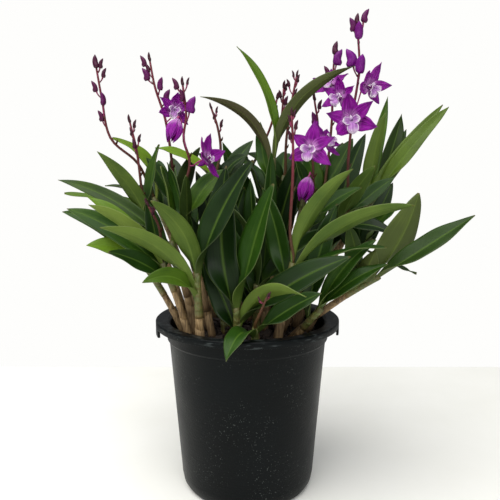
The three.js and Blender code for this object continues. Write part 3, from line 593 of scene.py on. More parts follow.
def blade_blank(name, columns, rows, finishes):
    """A thin slab of unit size, with a finish for its top, its underside and its edge."""
    blank = start_blank(name, finishes, bpy.ops.mesh.primitive_grid_add, x_subdivisions=columns,
                        y_subdivisions=rows, size=2)
    bpy.ops.transform.translate(value=(0, 1, 0))
    bpy.ops.transform.resize(value=(1, 0.5, 1), center_override=(0, 0, 0))
    bpy.ops.object.mode_set(mode="OBJECT")
    with_modifier(blank, "SOLIDIFY", thickness=1.0, offset=0.0)
    bpy.ops.object.mode_set(mode="EDIT")
    for slot, (low, high) in enumerate(((0.5, 2), (-2, -0.5), (-0.5, 0.5))):
        pick_parts("FACE", lambda face: low < face.normal.z < high)
        blank.active_material_index = slot
        bpy.ops.object.material_slot_assign()
    bpy.ops.object.mode_set(mode="OBJECT")
    return shade_smooth(blank)


leaf_blank = blade_blank("leaf_blank", 10, 30, (leaf_upper, leaf_under, leaf_edge_and_highlight))
tepal_blank = blade_blank("tepal_blank", 8, 12, (violet_front, violet_back, violet_back))
lip_blank = blade_blank("lip_blank", 8, 12, (lip_front, violet_back, lip_front))
bract_blank = blade_blank("bract_blank", 8, 12, (stem_skin, stem_skin, stem_skin))
blade_blanks = (leaf_blank, tepal_blank, lip_blank, bract_blank)
print("blade blanks:", [(blank.name, len(blank.data.polygons)) for blank in blade_blanks])

# %% [markdown]
# ### Rods: canes, stems, buds
#
# Everything round on the plant is raised from a disc, ring by ring: extrude the top face up, resize it, and
# go on. A cane swells below each joint and is pinched above it. A bud is the same idea with a bolder
# profile.


# %% Round blanks
def raised(name, sides, rings, finish, start=1.0):
    """A round blank, raised from a disc of radius start at height 0. rings: height and radius of each."""
    blank = start_blank(name, [finish], bpy.ops.mesh.primitive_circle_add, vertices=sides, radius=start,
                        fill_type="NGON")
    bpy.ops.mesh.select_mode(type="FACE")
    z, radius = 0.0, start
    for height, wide in rings:
        bpy.ops.mesh.extrude_region_move(TRANSFORM_OT_translate={"value": (0, 0, height - z)})
        bpy.ops.transform.resize(value=(wide / radius, wide / radius, 1), center_override=(0, 0, height))
        z, radius = height, wide
    bpy.ops.mesh.select_all(action="SELECT")
    bpy.ops.mesh.normals_make_consistent(inside=False)
    bpy.ops.object.mode_set(mode="OBJECT")
    return shade_smooth(blank)


JOINTS = 6
JOINT_RINGS = ((0.06, 1.03), (0.12, 0.99), (0.6, 1.01), (1.0, 1.0))
STALK_RINGS = ((0.12, 0.8), (0.3, 0.75), (0.5, 0.8), (0.7, 0.9), (0.88, 1.1), (1, 1.2))
BUD_RINGS = ((0.06, 0.19), (0.16, 0.235), (0.28, 0.25), (0.4, 0.252), (0.52, 0.245), (0.64, 0.225),
             (0.76, 0.185), (0.87, 0.12), (0.95, 0.055), (1.0, 0.015))
cane_rings = [((joint + share) / JOINTS, wide) for joint in range(JOINTS) for share, wide in JOINT_RINGS]
cane_blank = raised("cane_blank", 12, cane_rings, cane_bark)
radii = np.linalg.norm(corners_of(cane_blank)[:, :2], axis=1)
paint(cane_blank, tone=np.clip((radii - 0.965) / 0.06, 0, 1), along=corners_of(cane_blank)[:, 2])
stem_blank = raised("stem_blank", 8, [(k / 24, 1.0) for k in range(1, 25)], stem_skin)
stalk_blank = raised("stalk_blank", 6, STALK_RINGS, stem_skin)
bud_blank = raised("bud_blank", 12, BUD_RINGS, bud_skin, start=0.1)
round_blanks = (cane_blank, stem_blank, stalk_blank, bud_blank)
print("round blanks:", [(blank.name, len(blank.data.polygons)) for blank in round_blanks])

# %% [markdown]
# A bud of this orchid isn't a plain drop. Three sepals close over it, so three seams run up it. At its foot
# it has a chin that bulges to one side, and its tip leans over to that side. All of it is made by picking
# corners and moving or resizing them.

# %% Seams, chin and tip of the bud
pick(bud_blank)
bpy.ops.object.mode_set(mode="EDIT")
pick_parts("VERT", lambda c: math.cos(3 * math.atan2(c.co.y, c.co.x)) < -0.9 and 0.05 < c.co.z < 0.97)
bpy.ops.transform.resize(value=(0.86, 0.86, 1), center_override=(0, 0, 0.5))
pick_parts("VERT", lambda c: c.co.x > 0.05 and 0.03 < c.co.z < 0.35)
bpy.ops.transform.translate(value=(0.11, 0, -0.05))
for height, sideways in ((0.6, 0.03), (0.72, 0.04), (0.84, 0.05), (0.93, 0.05)):
    pick_parts("VERT", lambda c: c.co.z > height)
    bpy.ops.transform.translate(value=(sideways, 0, 0))
bpy.ops.object.mode_set(mode="OBJECT")

# %% [markdown]
# ### Sheaths
#
# Each leaf springs from a sheath that clasps the cane, and lower down only old papery sheaths are left.
# Both are a short open tube with an oblique mouth, which bisect cuts, and a thin wall.


# %% Sheath blanks
def sheath_blank(name, finish, slant):
    blank = start_blank(name, [finish], bpy.ops.mesh.primitive_cylinder_add, vertices=14, radius=1, depth=1,
                        end_fill_type="NOTHING")
    bpy.ops.transform.translate(value=(0, 0, 0.5))
    for z in (0.2, 0.4, 0.6):
        bpy.ops.mesh.select_all(action="SELECT")
        bpy.ops.mesh.bisect(plane_co=(0, 0, z), plane_no=(0, 0, 1))
    bpy.ops.mesh.select_all(action="SELECT")
    bpy.ops.mesh.bisect(plane_co=(0, 0, 0.82), plane_no=(slant, 0, 1), clear_outer=True)
    pick_parts("VERT", lambda c: c.co.z > 0.62)
    bpy.ops.transform.resize(value=(1.02, 1.02, 1), center_override=(0, 0, 0.8))
    bpy.ops.object.mode_set(mode="OBJECT")
    with_modifier(blank, "SOLIDIFY", thickness=0.035, offset=1.0)
    return paint(shade_smooth(blank), tone=0.5, along=corners_of(blank)[:, 2])


green_sheath_blank = sheath_blank("green_sheath_blank", leaf_sheath, -0.16)
papery_sheath_blank = sheath_blank("papery_sheath_blank", papery_sheath, -0.09)
print("sheath blanks:", len(green_sheath_blank.data.polygons), len(papery_sheath_blank.data.polygons))

# %% [markdown]
# ## Laying a blade along its arch
#
# The midrib of a leaf or petal is a bent line from root to tip. At each place along it the blade has a
# width and a fold, like an open book, and from its root outwards it twists until it shows its face. The
# rule is the one of the solids. The fine blade adds a rounded keel, edges that wave a little and a skin
# that thins to the edge.


# %% Blade shapes and the laying rule
def leaf_shape(t):
    """The share of the full width, and the fold, at share t of the blade's length."""
    widest, base = 0.42, 0.2
    near, far = t / widest, (t - widest) / (1 - widest)
    tapering = np.maximum(1 - np.maximum(far, 0) ** 2.2, 0) ** 0.85
    wide = np.where(t < widest, base + (1 - base) * near * (2 - near), tapering)
    return np.maximum(wide, 0.03), np.radians(46 - 28 * smooth(np.minimum(t / 0.6, 1)))


def tepal_shape(t):
    widest = 0.36
    near, far = t / widest, np.maximum(t - widest, 0) / (1 - widest)
    return np.maximum(np.where(t < widest, 0.5 + 0.5 * near * (2 - near), 1 - far**1.9), 0.04), np.radians(18)


def lip_shape(t):
    rounded = np.sqrt(np.maximum(1 - (np.maximum(t - 0.7, 0) / 0.31) ** 2, 0.02))
    return rounded * (0.4 + 0.75 * t), np.radians(30)


def closed_shape(t):
    """A petal of a closed bloom, folded the other way."""
    return 0.5 + 2 * t * (1 - t) - 0.42 * t**3, np.radians(-36)


def on_arch(first, bend, last, t):
    """The places at shares t of an arch from first to last that is drawn towards bend."""
    t = np.asarray(t)[..., None]
    return (1 - t) ** 2 * first + 2 * (1 - t) * t * bend + t**2 * last


def lay(blank, root, tip, lift, width, roll=0.0, up=UP, thick=0.7, shape=leaf_shape, recurve=0.0, wave=0.0,
        phase=0.0):
    """A copy of a blade blank, laid from root to tip in an arch that rises by lift towards up."""
    chord = unit(tip - root)
    rise = unit(up - np.dot(up, chord) * chord)
    side = np.cross(chord, rise)
    bend = (root + tip) / 2 + rise * 2 * lift
    full_turn = math.radians(roll if side[1] <= 0 else -roll)

    piece = copy_of(blank)
    u, t, off = corners_of(piece).T
    t = np.clip(t, 0, 1)
    column = t[:, None]
    along = unit((1 - column) * (bend - root) + column * (tip - bend))
    face = np.cross(side, along)
    turn = (full_turn * smooth(np.minimum(t / 0.45, 1)))[:, None]
    out = side * np.cos(turn) - face * np.sin(turn)
    normal = face * np.cos(turn) + side * np.sin(turn)
    wide, fold = shape(t)
    half = width / 2 * wide
    ridge = np.sqrt(u**2 + 0.01) - 0.1
    ripple = wave * u**2 * np.sin(2 * np.pi * (2.3 * t + phase) + 1.3 * np.sign(u)) * smooth(t)
    skin = off * thick * (1 - 0.45 * u**2)
    lifted = ridge * half * np.sin(fold) + ripple - recurve * t**3 + skin
    line = on_arch(root, bend, tip, t)
    return move_corners(piece, line + out * (u * half * np.cos(fold))[:, None] + normal * lifted[:, None])


# %% [markdown]
# ## Bending a rod along a line
#
# A rod blank follows a row of points. A pair of directions across the line is carried from point to point
# without turning round it, so the rod isn't wrung.


# %% Rods along a line
def frames_along(points):
    """Share of the length, and two directions across the line, at each of its points."""
    steps = np.linalg.norm(np.diff(points, axis=0), axis=1)
    share = np.r_[0, np.cumsum(steps)] / steps.sum()
    along = unit(np.gradient(points, axis=0))
    across = np.empty_like(points)
    start = np.array([1.0, 0, 0]) if abs(along[0][2]) > 0.7 else UP
    for i, direction in enumerate(along):
        start = unit(start - np.dot(start, direction) * direction)
        across[i] = start
    return share, across, np.cross(along, across)


def bend_along(piece, points, radius, start=0.0, end=1.0):
    """Bends a rod blank along a line, from share start to share end of it. radius: one, or one per point."""
    x, y, z = corners_of(piece).T
    share, across, other = frames_along(points)
    where = start + (end - start) * z
    at = lambda rows: np.stack([np.interp(where, share, rows[:, k]) for k in range(3)], axis=1)
    wide = np.interp(where, share, np.broadcast_to(radius, share.shape))
    places = at(points) + at(across) * (x * wide)[:, None] + at(other) * (y * wide)[:, None]
    return move_corners(piece, places)


def arch(first, bend, last, count=24):
    return on_arch(first, bend, last, np.linspace(0, 1, count))


def through(points, count):
    """A smooth line through points, without loops where they are unevenly spaced."""
    points = np.array(points, float)
    padded = np.vstack([2 * points[0] - points[1], points, 2 * points[-1] - points[-2]])
    line = []
    for t in np.linspace(0, len(points) - 1, count):
        k = min(int(t), len(points) - 2)
        w = t - k
        p = padded[k:k + 4]
        gaps = np.maximum(np.sqrt(np.linalg.norm(np.diff(p, axis=0), axis=1)), 1e-4)
        steps = np.diff(p, axis=0) / gaps[:, None]
        leaps = (p[2:] - p[:-2]) / (gaps[1:] + gaps[:-1])[:, None]
        slopes = (steps[:-1] - leaps + steps[1:]) * gaps[1]
        line.append((1 - smooth(w)) * p[1] + smooth(w) * p[2] + (w * (1 - w) ** 2) * slopes[0]
                    - (w * w * (1 - w)) * slopes[1])
    return np.array(line)


# %% [markdown]
# ## The leafy canes
#
# Each cane rises from the mix and leans out. From just under its tip it carries its leaves one below the
# other, each from its own sheath. The cane, its sheaths and its leaves grew as one, so they are joined into
# one piece.

# %% The line of a cane
TOP_LEAF_DROP = 5
LINE_POINTS = 32
chance = np.random.default_rng(12)


def cane_line(row):
    surface, top = np.array([*row["foot"], MIX_TOP], float), np.array(row["top"], float)
    lean = top - surface
    bend = surface + lean / 2 + np.array([-0.1 * lean[0], -0.1 * lean[1], 0.04 * lean[2]])
    length = np.linalg.norm(np.diff(arch(surface, bend, top, 200), axis=0), axis=1).sum()
    foot = surface - unit(bend - surface) * CANE_DEPTH
    points = np.vstack([np.linspace(foot, surface, 8)[:-1], arch(surface, bend, top, LINE_POINTS)])
    radius = np.r_[np.linspace(0.8, 0.98, 7) * row["r"], np.linspace(row["r"], CANE_TOP_RADIUS, LINE_POINTS)]
    return dict(arch=(surface, bend, top), length=length, points=points, radius=radius, end=unit(top - bend))


canes = [cane_line(row) for row in CANES]
lengths = [round(cane["length"]) for cane in canes]
print("canes from", min(lengths), "to", max(lengths), "mm long")

# %% [markdown]
# Which leaves are dark and which are olive is chosen leaf by leaf for those in front, and by a seeded draw
# for the rest. The draw is a little darker towards the back of the plant: painted shade, for the light that
# reaches less far in there. A few have a maroon blush, as leaves get in strong sun, and a few deep in the
# plant are broader than their solids, to fill its heart.

# %% The looks of each leaf, by the number of its cane from 1 and its own from 0
TONE_ROWS = {
    1: (0.14, 0.56, 0.64, 0.62, 0.4), 2: (0.44, 0.1, 0.2, 0.68, 0.12), 3: (0.58, 0.56, 0.4), 4: (0.26, 0.46),
    5: (0.42, 0.5, 0.25, 0.5), 6: (0.5, 0.45), 7: (0.72, 0.42, 0.4), 8: (0.42, 0.52, 0.12),
    10: (0.74, 0.6, 0.35, 0.6, 0.25, 0.74), 11: (None, None, None, None, None, 0.1), 12: (0.8, 0.5),
    13: (0.85, 0.5, 0.85, 0.3), 14: (None, 0.5), 18: (0.95, 0.68), 19: (None, None, None, 0.25, 0.3),
    20: (1.1, None, 0.3), 29: (None, None, None, 0.18), 30: (0.05, 0.15, None, 0.15, 0.3),
    31: (0.1, 0.05, None, None, 0.1),
}
CHOSEN_TONES = {(cane, leaf): tone for cane, row in TONE_ROWS.items() for leaf, tone in enumerate(row)
                if tone is not None}
BLUSHED = {(7, 1): 0.35, (7, 2): 0.6, (5, 0): 0.2, (5, 1): 0.25, (5, 3): 0.3, (18, 0): 0.1, (10, 0): 0.5,
           (10, 2): 0.3, (10, 5): 0.5, (1, 3): 0.1, (14, 1): 0.3}
BROADER = {(31, 4): 1.4, (30, 4): 1.2, (1, 4): 1.4, (11, 2): 1.2, (25, 1): 1.4, (28, 0): 1.4, (28, 1): 1.5,
           (19, 4): 1.25, (23, 3): 1.2}
print("leaves with a chosen tone:", len(CHOSEN_TONES), "blushed:", len(BLUSHED), "broader:", len(BROADER))


# %% A leaf, and a sheath round its cane
def leaf_of(number, row, cane, i):
    # The seeded tone is lowered towards the back of the plant: painted shade, on top of the random tone.
    drawn_tone_and_back_shade = 0.2 + 0.4 * chance.random() - 0.0012 * max(row["foot"][1] + 20, 0)
    x, y, z, lift, width, roll = row["leaves"][i]
    axis = on_arch(*cane["arch"], 1 - (TOP_LEAF_DROP + LEAF_SPACING * i) / cane["length"])
    outward = unit(np.array([x - axis[0], y - axis[1], 0.0]))
    root, tip = axis + outward * CANE_TOP_RADIUS * 0.7, np.array([x, y, z], float)
    leaf = lay(leaf_blank, root, tip, lift, width * BROADER.get((number, i), 1), roll,
               wave=0.35 + 0.5 * chance.random(), phase=chance.random())
    tone = CHOSEN_TONES.get((number, i), drawn_tone_and_back_shade)
    return paint(leaf, tone=tone, along=1.0, blush=BLUSHED.get((number, i), 0.0)), outward


def sheath_round(cane, blank, outward, low, high, gap):
    """A sheath on the cane from share low to share high, with its long lip towards outward."""
    share, across, other = frames_along(cane["points"])
    at = int(np.searchsorted(share, high).clip(0, len(share) - 1))
    turn = math.atan2(np.dot(outward, other[at]), np.dot(outward, across[at]))
    sheath = copy_of(blank)
    x, y, z = corners_of(sheath).T
    cos, sin = math.cos(turn), math.sin(turn)
    turned = np.stack([x * cos - y * sin, x * sin + y * cos, z], axis=1)
    return bend_along(move_corners(sheath, turned, 1), cane["points"], cane["radius"] + gap, low, high)


# %% Build the leafy canes
SHEATH_BELOW = 6
SHEATH_ABOVE = 4
CLEAR_OF_LEAVES = 12
SHORTEST_PAPER = 12
PAPER_REACH = 16
PAPER_REACH_SPAN = 14


def leafy_cane(number, row, cane):
    parts = [bend_along(copy_of(cane_blank), cane["points"], cane["radius"])]
    total = cane["length"] + CANE_DEPTH
    for i in range(len(row["leaves"])):
        leaf, outward = leaf_of(number, row, cane, i)
        root = (total - TOP_LEAF_DROP - LEAF_SPACING * i) / total
        low, high = root - SHEATH_BELOW / total, root + SHEATH_ABOVE / total
        parts += [leaf, sheath_round(cane, green_sheath_blank, outward, low, high, 0.1)]
    bare = cane["length"] - CLEAR_OF_LEAVES - LEAF_SPACING * len(row["leaves"])
    low = CANE_DEPTH + 1
    while bare > SHORTEST_PAPER:
        reach = min(bare, PAPER_REACH + PAPER_REACH_SPAN * chance.random())
        angle = 2 * math.pi * chance.random()
        outward = np.array([math.cos(angle), math.sin(angle), 0.0])
        high = low + reach
        parts.append(sheath_round(cane, papery_sheath_blank, outward, low / total, high / total, 0.03))
        low = high
        bare -= reach
    return join(parts, f"leafy_cane_{number:02d}")


leafy_canes = [leafy_cane(i + 1, row, cane) for i, (row, cane) in enumerate(zip(CANES, canes))]
print("leafy canes:", len(leafy_canes), "faces:", sum(len(c.data.polygons) for c in leafy_canes))

# %% [markdown]
# ## The flower spikes
#
# A spike leaves the tip of its cane between the leaves, thin and wiry. Along it, buds lean out on their own
# stalks, each from the armpit of a tiny pointed bract, and the last bud crowns it.


# %% The line of a spike, and a place on it
def spike_line(row, cane):
    foot = cane["arch"][2] + cane["end"] * SEAT_GAP
    controls = [foot + cane["end"] * 3, *[np.array(p, float) for p in row["spike"]]]
    line = through(controls, 48)
    return dict(joints=through(controls, len(controls) + 1), line=line, end=unit(line[-1] - line[-2]),
                points=np.vstack([foot - cane["end"] * 3, foot, line]))


def on_spike(spike, share):
    """The place on the solid's straight steps, where it has its buds, and the nearest on the fine line."""
    steps = len(spike["joints"]) - 1
    step = min(int(share * steps), steps - 1)
    low, high = spike["joints"][step:step + 2]
    place = low + (high - low) * (share * steps - step)
    line = spike["line"]
    return place, line[np.argmin(np.linalg.norm(line - place, axis=1))]


# %% Buds, bracts and stalks
BRACT_LENGTH = 3.2
BARE_BRACT_LENGTH = 4.5
STALK_RADIUS = 0.6


def put_bud(base, axis, length, side, tone):
    """A bud on its base, its chin to the side."""
    bud = copy_of(bud_blank)
    across = unit(side - np.dot(side, axis) * axis)
    girth = (0.08 + 0.016 * length) / 0.25
    local = corners_of(bud) * length * np.array([girth, girth, 1])
    move_corners(bud, base + local @ np.array([across, np.cross(axis, across), axis]))
    return paint(bud, tone=tone + 0.12 * (local[:, 2] / length - 0.5), along=1.0)


def put_bract(base, side, length):
    tip = base + UP * length * 0.8 + side * length * 0.6
    bract = lay(bract_blank, base, tip, 0.2, 1.8, up=side, thick=0.3, shape=tepal_shape)
    return paint(bract, tone=0.2, along=1.0)


def put_stalk(points, thick, tone):
    return paint(bend_along(copy_of(stalk_blank), points, thick), tone=tone, along=1.0)


def buds_of(row, spike):
    parts = []
    for share, x, y, z, length in row["buds"]:
        side = unit(np.array([x, y, 0.0]) + np.array([0.001, -0.001, 0]))
        tone = float(np.clip((length - 6) / 6, 0.05, 0.95))
        if share == 1:
            chin_side = np.array([0.6, -0.8, 0])
            parts.append(put_bud(spike["line"][-1], spike["end"], length, chin_side, 0.4 * tone))
            continue
        here, start = on_spike(spike, share)
        base = here + np.array([x, y, z], float)
        axis = unit(UP + 0.05 * np.array([x, y, 0.0]) + 0.12 * side)
        bend = (start + base) / 2 + side * 0.25 * np.linalg.norm(base - start)
        parts += [put_bud(base, axis, length, side, tone),
                  put_stalk(arch(start, bend, base + axis * 0.5), STALK_RADIUS, 0.85),
                  put_bract(start, side, BRACT_LENGTH)]
    return parts


# %% [markdown]
# ## The blooms
#
# A bloom has three broad sepals, two narrower petals between them, a lip in front, and the column in the
# middle. They are the same blade with other outlines, laid out like a star. The frame's blooms give each
# one's centre, the way it looks, its size and its turn. Its tips come forward a little more than the
# solid's, like a cupped hand.

# %% The star of a bloom
SEPALS = (0, 128, 232)
PETALS = (64, 296)
CUPPED = {8: 0.84, 9: 0.95, 16: 0.92, 17: 0.85}
SMALL_HEARTED = {16: 0.5}


def bloom_axes(bloom, cane_number):
    """Its place and directions. cup: how far its tips reach out. heart: the size of its lip and column."""
    share, x, y, z, face, size, turn, *state = bloom
    front = unit(np.array(face, float))
    level = unit(np.cross(UP, front))
    up = np.cross(front, level)
    top = up * math.cos(math.radians(turn)) + level * math.sin(math.radians(turn))
    return dict(share=share, centre=np.array([x, y, z], float), front=front, top=top,
                right=np.cross(front, top), half=size / 2, closed=state == ["closed"],
                cup=CUPPED.get(cane_number, 0.96), heart=size / 2 * SMALL_HEARTED.get(cane_number, 1.0))


def ray(b, angle, out, ahead):
    a = math.radians(angle)
    return b["centre"] + b["top"] * out * math.cos(a) + b["right"] * out * math.sin(a) + b["front"] * ahead


# %% Open and closed blooms
def open_bloom(b):
    half, tone, cup, heart = b["half"], chance.random(), b["cup"], b["heart"]

    def petal(blank, root, tip, lift, width, shape, recurve, wave):
        made = lay(blank, root, tip, lift, width, up=b["front"], thick=0.55, shape=shape, recurve=recurve,
                   wave=wave, phase=chance.random())
        return paint(made, tone=tone, along=1.0)

    parts = []
    for angles, reach, wide, layer in ((SEPALS, 1.0, 0.64, -0.8), (PETALS, 0.94, 0.55, 0.1)):
        for angle in angles:
            swing, wave = chance.uniform(-6, 6), chance.uniform(0.3, 0.65)
            ahead = layer + half * (chance.uniform(0.1, 0.45) + 1.4 * (1 - cup))
            tip = ray(b, angle + swing, half * reach * cup, ahead)
            parts.append(petal(tepal_blank, ray(b, angle, 1.4, layer), tip, -half * chance.uniform(0.05, 0.2),
                               half * wide, tepal_shape, half * chance.uniform(-0.05, 0.3), wave))
    throat = ray(b, 180, 1.2, 0.9)
    parts.append(petal(lip_blank, throat, ray(b, 180, heart * 0.58, heart * 0.46), heart * 0.12, heart * 0.52,
                       lip_shape, heart * 0.16, 0.8))
    for angle in (110, 250):
        parts.append(petal(lip_blank, throat, ray(b, angle, heart * 0.34, heart * 0.54), heart * 0.02,
                           heart * 0.38, lip_shape, 0.0, 0.4))
    column = put_bud(ray(b, 0, 0.2, 0.3), unit(b["front"] + 0.1 * b["top"]), heart * 0.36, b["top"], 0.8)
    column.data.materials[0] = column_skin
    chin = put_bud(ray(b, 180, 1.0, 0.4), unit(-b["front"] - 0.35 * b["top"]), half * 0.5, b["top"], 0.9)
    return parts + [column, chin]


def closed_bloom(b):
    half, parts = b["half"], []
    for k in range(5):
        angle = 72 * k + 20
        outward = unit(ray(b, angle, 1, 0) - b["centre"])
        out, ahead, lift = (2.4, 1.42, 4.2) if k % 2 else (1.6, 1.3, 3.8)
        made = lay(tepal_blank, ray(b, angle, 0.8, -half * 0.2), ray(b, angle, out, half * ahead), lift, 8.2,
                   up=outward, thick=0.5, shape=closed_shape)
        parts.append(paint(made, tone=0.3 + 0.1 * k, along=1.0))
    return parts + [put_bud(ray(b, 180, 0, 0.5), -b["front"], half * 0.45, b["top"], 0.6)]


# %% Build spikes and blooms
STEM_RADII = (1.1, 0.7)
BARE_BRACTS = (0.25, 0.45)
spikes, blooms = [], []
for number, (row, cane) in enumerate(zip(CANES, canes), 1):
    if "spike" not in row:
        continue
    spike = spike_line(row, cane)
    radii = np.linspace(*STEM_RADII, len(spike["points"]))
    stem = bend_along(copy_of(stem_blank), spike["points"], radii)
    height = corners_of(stem)[:, 2] / MM
    paint(stem, tone=np.clip((height - spike["points"][0][2]) / 60, 0, 1) * 0.75, along=1.0)
    parts = [stem, *buds_of(row, spike)]
    for share in BARE_BRACTS:
        parts.append(put_bract(on_spike(spike, share)[1], np.array([0.7, -0.7, 0]), BARE_BRACT_LENGTH))
    for bloom in row.get("blooms", []):
        b = bloom_axes(bloom, number)
        start = on_spike(spike, b["share"])[1]
        near = b["centre"] - b["front"] * (b["half"] * 0.3 + 2.5)
        knee = (start + near) / 2 - UP
        parts.append(put_stalk(through([start, knee, near, b["centre"] - b["front"] * 0.5], 24), 0.62, 1.0))
        made = closed_bloom(b) if b["closed"] else open_bloom(b)
        blooms.append(join(made, f"orchid_bloom_{len(blooms) + 1:02d}"))
    spikes.append(join(parts, f"orchid_spike_{len(spikes) + 1:02d}"))
faces = sum(len(piece.data.polygons) for piece in spikes + blooms)
print("spikes:", len(spikes), "blooms:", len(blooms), "faces:", faces)

# %% [markdown]
# ## The pot
#
# A moulded nursery pot has one wall all round: a foot with a soft corner, a body that widens upwards, a
# slightly wider collar and a rim that turns out and down. It could be a profile spun round an axis. Here it
# is raised from a disc like the canes, outside up, over the rim and down inside, which closes it at both
# ends.

# %% Raise the pot from its base
collar = POT_HEIGHT - COLLAR_HEIGHT
lip_under = POT_HEIGHT - RIM_LIP_HEIGHT
inner = BODY_TOP_RADIUS - WALL
pot = raised("nursery_pot", 120, [
    (1.2, BODY_FOOT_RADIUS - 2.7), (4.5, BODY_FOOT_RADIUS - 0.7), (10, BODY_FOOT_RADIUS + 0.3),
    (collar, BODY_TOP_RADIUS - 0.9), (collar + 1.6, BODY_TOP_RADIUS + 0.6),
    (POT_HEIGHT - 1.8, BODY_TOP_RADIUS + 0.9), (POT_HEIGHT - 1.6, RIM_RADIUS - 1.6),
    (lip_under, RIM_RADIUS - 1.6), (lip_under, RIM_RADIUS), (POT_HEIGHT - 0.6, RIM_RADIUS),
    (POT_HEIGHT, RIM_RADIUS - 0.7), (POT_HEIGHT - 0.6, BODY_TOP_RADIUS + 0.2), (POT_HEIGHT - 2.4, inner),
    (collar, inner - 1), (7, BODY_FOOT_RADIUS - WALL), (2.4, BODY_FOOT_RADIUS - 6),
], pot_plastic, start=BODY_FOOT_RADIUS - 6)
print("pot:", len(pot.data.polygons), "faces")

# %% [markdown]
# Two grip tabs hang from the rim: the faces under the lip, over twenty degrees, are extruded down. The
# drain holes are cut with a Boolean, and a narrow bevel rounds the edges that the mould left.

# %% Tabs, drain holes and soft edges
TAB_ANGLES = (190, 355)
TAB_DEPTH = 5
DRAIN_HOLES = 6
DRAIN_RING = 32
DRAIN_RADIUS = 3.5
MOULD_EDGE = 0.35
SHARP_EDGE = math.radians(35)


def under_lip_at_tab(face):
    c = face.center
    angle = math.degrees(math.atan2(c.y, c.x)) % 360
    return (abs(c.z - lip_under) < 0.1 and face.normal.z < -0.9 and c.xy.length > RIM_RADIUS - 1.5
            and any(abs(angle - tab) < 10 for tab in TAB_ANGLES))


pick(pot)
bpy.ops.object.mode_set(mode="EDIT")
pick_parts("FACE", under_lip_at_tab)
bpy.ops.mesh.extrude_region_move(TRANSFORM_OT_translate={"value": (0, 0, -TAB_DEPTH)})
bpy.ops.object.mode_set(mode="OBJECT")

cutters = []
for k in range(DRAIN_HOLES):
    angle = 2 * math.pi * (k + 0.5) / DRAIN_HOLES
    cutters.append(start_blank("drain", [], bpy.ops.mesh.primitive_cylinder_add, vertices=24,
                               radius=DRAIN_RADIUS, depth=8))
    bpy.ops.transform.translate(value=(DRAIN_RING * math.cos(angle), DRAIN_RING * math.sin(angle), 1))
    bpy.ops.object.mode_set(mode="OBJECT")
cutter = join(cutters, "drain_cutter")
with_modifier(pot, "BOOLEAN", operation="DIFFERENCE", object=cutter, solver="EXACT")
bpy.data.objects.remove(cutter)
with_modifier(pot, "BEVEL", width=MOULD_EDGE, segments=2, limit_method="ANGLE", angle_limit=SHARP_EDGE)
pick(move_corners(pot, corners_of(pot)))
bpy.ops.object.shade_smooth_by_angle(angle=SHARP_EDGE)
print("pot with tabs and holes:", len(pot.data.polygons), "faces")

# %% [markdown]
# ## The bark mix
#
# The mix is a lumpy bed of bark that fills the pot to a little under its rim. The bed is raised from a disc
# too, with rings across its top that are moved up and down. Loose chips lie on it: three chips are hacked
# from a cube, and a few hundred copies are strewn in a spiral, each turned and sized by a seeded draw.


# %% The bed of the mix
def lumps(x, y):
    return 1.3 * np.sin(0.33 * x + 1) * np.cos(0.29 * y) + 0.8 * np.sin(0.61 * y + 0.17 * x)


bed_rim = inner - 1.2 - SEAT_GAP
bed_rings = [(7.4, BODY_FOOT_RADIUS - WALL - 0.5), (MIX_TOP - 3, bed_rim), (MIX_TOP - 1, bed_rim - 5)]
bed_rings += [(MIX_TOP, bed_rim - 5 - 4 * k) for k in range(1, 12)]
bed = raised("bark_bed", 64, bed_rings, damp_bark, start=BODY_FOOT_RADIUS - 6.4)
places = corners_of(bed)
places[:, 2] += np.where(places[:, 2] < 1, 2.8, 0)
top = places[:, 2] > MIX_TOP - 1.5
places[top, 2] += lumps(places[top, 0], places[top, 1])
move_corners(bed, places)
print("bed:", len(bed.data.polygons), "faces")

# %% Three chips, and a few hundred copies
CHIP_SIZES = {"flat_chip": (8, 5, 2), "blocky_chip": (6, 4.5, 3.5), "long_chip": (10, 3, 2)}
CHIP_COUNT = 330
SPIRAL_STEP = 2.39996
chips = []
for seed, (name, size) in enumerate(CHIP_SIZES.items(), 1):
    chips.append(start_blank(name, [damp_bark], bpy.ops.mesh.primitive_cube_add, size=1))
    bpy.ops.transform.resize(value=size)
    bpy.ops.mesh.subdivide(number_cuts=1)
    bpy.ops.object.mode_set(mode="OBJECT")
    local = corners_of(chips[-1])
    move_corners(chips[-1], local * (1 + 0.28 * np.random.default_rng(seed).uniform(-1, 1, local.shape)), 1)

strewn = [bed]
for k in range(CHIP_COUNT):
    reach = (bed_rim - 4) * math.sqrt((k + 0.5) / CHIP_COUNT)
    x, y = reach * math.cos(SPIRAL_STEP * k), reach * math.sin(SPIRAL_STEP * k)
    turn, tilt, roll = chance.uniform(-math.pi, math.pi), chance.normal(0, 0.35), chance.normal(0, 0.35)
    turned = Matrix.Rotation(turn, 3, "Z") @ Matrix.Rotation(tilt, 3, "X") @ Matrix.Rotation(roll, 3, "Y")
    chip = copy_of(chips[k % 3])
    local = corners_of(chip) * chance.uniform(0.55, 1.05)
    z = MIX_TOP + lumps(x, y) - max(reach - bed_rim + 6, 0) * 0.35 + chance.uniform(0.0, 1.6)
    strewn.append(move_corners(chip, local @ np.array(turned).T + np.array([x, y, z])))
bark = join(strewn, "bark_chips")
print("bark mix:", len(bark.data.polygons), "faces")

# %% [markdown]
# ## Take the place of the frame's solids
#
# Each fine piece rides on the frame's one body and hides the solid that it stands for. The blanks have
# done their work and go.

# %% Ride, replace and clear up
for blank in (*blade_blanks, *round_blanks, green_sheath_blank, papery_sheath_blank, *chips):
    bpy.data.objects.remove(blank)

